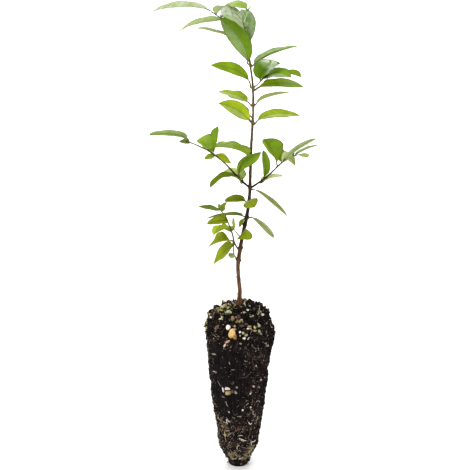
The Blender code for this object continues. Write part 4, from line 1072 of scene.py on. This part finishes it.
def leafMaterial():
    # The leaf's own colour, mottled; a painted pale sheen, a painted reflection, where its look says; paler side veins;
    # a midrib that is reddish at the base; a darker, greyer margin and tip; a paler, duller underside; and a
    # brown-green stalk.
    made, tree, shader, place = newMaterial("leafSurface", 0.5, 0.14)
    along, across, under = (attribute(tree, name) for name in ("along", "across", "under"))
    fromRib, stalk, sheen = (attribute(tree, name) for name in ("fromRib", "stalk", "sheen"))
    spread = calc(tree, "ABSOLUTE", across)
    curve = calc(tree, "MULTIPLY_ADD", calc(tree, "MULTIPLY", spread, spread), 0.1, calc(tree, "MULTIPLY", spread, -0.32))
    ladder = calc(tree, "MULTIPLY", calc(tree, "ADD", along, curve), float(leafStyle["sideVeins"]))
    vein = ramped(tree, calc(tree, "PINGPONG", ladder, 0.5), 0.01, 0.10, 1.0, 0.0)
    vein = calc(tree, "MULTIPLY", vein, ramped(tree, spread, 0.75, 0.95, 0.14, 0.0))
    colour = useGroup(tree, "mottle", "Colour", Place=place, Colour=attribute(tree, "leafColour"),
                      Scale=140.0, Dark=0.82, Light=1.16)
    # Painted reflection: the pale sheen is blended in as clouds, patchier where it is stronger; the flecked look's pale
    # flecks are this painted sheen too
    paintedSheenClouds = ramped(tree, noise(tree, place, 320.0, 3.0), 0.36, 0.64, -0.5, 0.5)
    paintedSheenClouds = calc(tree, "MULTIPLY_ADD", paintedSheenClouds, calc(tree, "MULTIPLY_ADD", sheen, 1.4, 0.25), 0.92)
    colour = blend(tree, calc(tree, "MULTIPLY", sheen, paintedSheenClouds), colour, (0.50, 0.57, 0.40))
    colour = blend(tree, vein, colour, (0.30, 0.42, 0.08))
    rib = ramped(tree, fromRib, 0.12, 0.34, 0.6, 0.0)
    ribColour = blend(tree, ramped(tree, along, 0.05, 0.6), (0.13, 0.07, 0.02), (0.10, 0.15, 0.02))
    colour = blend(tree, rib, colour, ribColour)
    edge = ramped(tree, spread, 0.80, 1.0, 0.0, 0.75)
    colour = blend(tree, edge, colour, (0.095, 0.115, 0.045))
    colour = blend(tree, ramped(tree, along, 0.93, 1.0, 0.0, 0.6), colour, (0.10, 0.11, 0.06))
    colour = blend(tree, calc(tree, "MULTIPLY", under, 0.3), colour, (0.19, 0.27, 0.03))
    colour = blend(tree, stalk, colour, (0.105, 0.085, 0.025))
    wire(tree, colour, shader.inputs["Base Color"])
    patchy = noise(tree, place, 260.0)
    rough = calc(tree, "MULTIPLY_ADD", patchy, 0.16, 0.38)
    wire(tree, calc(tree, "MULTIPLY_ADD", under, 0.2, rough), shader.inputs["Roughness"])
    wire(tree, calc(tree, "MULTIPLY_ADD", sheen, 0.2, 0.06), shader.inputs["Specular IOR Level"])
    bumped(tree, shader, useGroup(tree, "pits", "Height", Place=place, Scale=2600.0), 0.03, 0.35)
    return made


def barkMaterial(name, tones):
    # Tones by age along the limb, streaked along it, with pale flakes and dark cracks.
    made, tree, shader, place = newMaterial(name, 0.7, 0.1)
    ramp = tree.nodes.new("ShaderNodeValToRGB")
    wire(tree, attribute(tree, "age"), ramp.inputs["Fac"])
    while len(ramp.color_ramp.elements) < len(tones):
        ramp.color_ramp.elements.new(0.5)
    for element, (share, tone) in zip(ramp.color_ramp.elements, tones):
        element.position = share
        element.color = (*tone, 1)
    stretch = tree.nodes.new("ShaderNodeMapping")
    stretch.inputs["Scale"].default_value = (1, 1, 0.22)
    wire(tree, place, stretch.inputs["Vector"])
    stretched = stretch.outputs["Vector"]
    colour = useGroup(tree, "mottle", "Colour", Place=stretched, Colour=ramp.outputs["Color"],
                      Scale=900.0, Dark=0.5, Light=1.6)
    flakes = ramped(tree, noise(tree, stretched, 1700.0), 0.60, 0.72, 0.0, 0.35)
    colour = blend(tree, flakes, colour, (0.22, 0.14, 0.07))
    cracks = ramped(tree, noise(tree, stretched, 1300.0, 2.0), 0.30, 0.42, 0.7, 0.0)
    colour = blend(tree, cracks, colour, (0.015, 0.010, 0.007))
    wire(tree, colour, shader.inputs["Base Color"])
    wire(tree, calc(tree, "MULTIPLY_ADD", flakes, 0.35, 0.6), shader.inputs["Roughness"])
    bumped(tree, shader, noise(tree, stretched, 1500.0), 0.12, 0.6)
    return made


def peatMaterial():
    # Near-black peat, browner in patches, with fine pale specks; the pressed front is streaked up and down.
    made, tree, shader, place = newMaterial("peatSurface", 0.95, 0.04)
    pressed = attribute(tree, "pressed")
    patches = ramped(tree, noise(tree, place, 170.0), 0.40, 0.66)
    colour = blend(tree, patches, (0.0042, 0.0030, 0.0031), (0.0155, 0.0098, 0.0080))
    colour = useGroup(tree, "mottle", "Colour", Place=place, Colour=colour, Scale=1100.0, Dark=0.4, Light=1.8)
    specks = ramped(tree, noise(tree, place, 1500.0, 2.0), 0.64, 0.72, 0.0, 0.6)
    colour = blend(tree, specks, colour, (0.13, 0.095, 0.075))
    stretch = tree.nodes.new("ShaderNodeMapping")
    stretch.inputs["Scale"].default_value = (1, 1, 0.12)
    wire(tree, place, stretch.inputs["Vector"])
    streaks = ramped(tree, noise(tree, stretch.outputs["Vector"], 900.0, 3.0), 0.42, 0.66)
    streaked = blend(tree, streaks, (0.0024, 0.0018, 0.0025), (0.0105, 0.0088, 0.0078))
    colour = blend(tree, calc(tree, "MULTIPLY", pressed, 0.9), colour, streaked)
    wire(tree, colour, shader.inputs["Base Color"])
    wire(tree, ramped(tree, pressed, 0.0, 1.0, 0.97, 0.85), shader.inputs["Roughness"])
    bumped(tree, shader, useGroup(tree, "pits", "Height", Place=place, Scale=1500.0), 0.25, 0.7)
    return made


def bitMaterial():
    # Crumbs, chips and roots in their own colours, mottled and pitted.
    made, tree, shader, place = newMaterial("bitSurface", 0.85, 0.1)
    colour = useGroup(tree, "mottle", "Colour", Place=place, Colour=attribute(tree, "bitColour"),
                      Scale=1300.0, Dark=0.55, Light=1.35)
    wire(tree, colour, shader.inputs["Base Color"])
    wire(tree, calc(tree, "MULTIPLY_ADD", noise(tree, place, 900.0), 0.25, 0.7), shader.inputs["Roughness"])
    bumped(tree, shader, useGroup(tree, "pits", "Height", Place=place, Scale=2200.0), 0.12, 0.6)
    return made


trunkTones = [
    (0.0, (0.085, 0.038, 0.016)), (0.05, (0.115, 0.055, 0.026)), (0.12, (0.105, 0.049, 0.021)), (0.20, (0.062, 0.031, 0.011)),
    (0.27, (0.030, 0.015, 0.005)), (0.36, (0.022, 0.011, 0.005)), (0.42, (0.044, 0.025, 0.009)),
    (0.50, (0.058, 0.030, 0.011)), (0.62, (0.100, 0.062, 0.023)), (0.75, (0.125, 0.085, 0.036)),
    (1.0, (0.12, 0.115, 0.032)),
]
# The last, palest tone is for the shoot tip's twig: a pale green stem, partly a painted highlight along it
twigTones = [
    (0.0, (0.070, 0.050, 0.018)), (0.3, (0.095, 0.085, 0.025)), (0.8, (0.12, 0.15, 0.03)), (1.0, (0.34, 0.40, 0.20)),
]

lines = {name: routeLine(limb["route"], barkStyle["step"]) for name, limb in limbs.items()}
twigLines = {name: routeLine(mass["route"], barkStyle["step"]) for name, mass in masses.items()}
print("growing bark and twigs")
growBark(lines, twigLines, barkMaterial("barkSurface", trunkTones), barkMaterial("twigSurface", twigTones))
print("growing leaves")
growLeaves(lines, twigLines, leafMaterial())
print("building the root ball")
growBall(peatMaterial(), bitMaterial())


# Studio
studio = {
    "floor": 0.92, "world": 1.0,
    # Area lights: place, what they face, size, power, and whether the leaves' gloss shows them
    "lights": {
        "keyLight": ((-1.1, -1.0, 1.5), (0, 0, 0.22), 0.9, 16, True),
        "skyLight": ((0.0, 1.9, 1.3), (0, 0, 0.25), 1.8, 55, False),
    },
}


def addLight(name, place, target, size, power, glossy):
    lamp = bpy.data.lights.new(name, "AREA")
    lamp.size = size
    lamp.energy = power
    made = bpy.data.objects.new(name, lamp)
    made.location = place
    made.rotation_euler = (Vector(target) - Vector(place)).to_track_quat("-Z", "Y").to_euler()
    made.visible_glossy = glossy
    bpy.context.scene.collection.objects.link(made)


floorMesh = bpy.data.meshes.new("floor")
floorMesh.from_pydata([(-9, -9, 0), (9, -9, 0), (9, 9, 0), (-9, 9, 0)], [], [(0, 1, 2, 3)])
floor = bpy.data.objects.new("floor", floorMesh)
bpy.context.scene.collection.objects.link(floor)
floorMaterial, _, floorShader, _ = newMaterial("floorSurface", 0.9, 0.2)
floorShader.inputs["Base Color"].default_value = (studio["floor"], studio["floor"], studio["floor"], 1)
floorMesh.materials.append(floorMaterial)
for name, values in studio["lights"].items():
    addLight(name, *values)
world = bpy.data.worlds.new("studio")
world.use_nodes = True
world.node_tree.nodes["Background"].inputs["Color"].default_value = (1, 1, 1, 1)
world.node_tree.nodes["Background"].inputs["Strength"].default_value = studio["world"]
bpy.context.scene.world = world
bpy.context.scene.view_settings.view_transform = "Standard"

cameraData = bpy.data.cameras.new("camera")
cameraData.sensor_width = 36
cameraData.lens = 83.87
camera = bpy.data.objects.new("camera", cameraData)
camera.location = (-0.00245, -0.700, 0.432)
camera.rotation_euler = (math.radians(70), 0, 0)
bpy.context.scene.collection.objects.link(camera)
bpy.context.scene.camera = camera
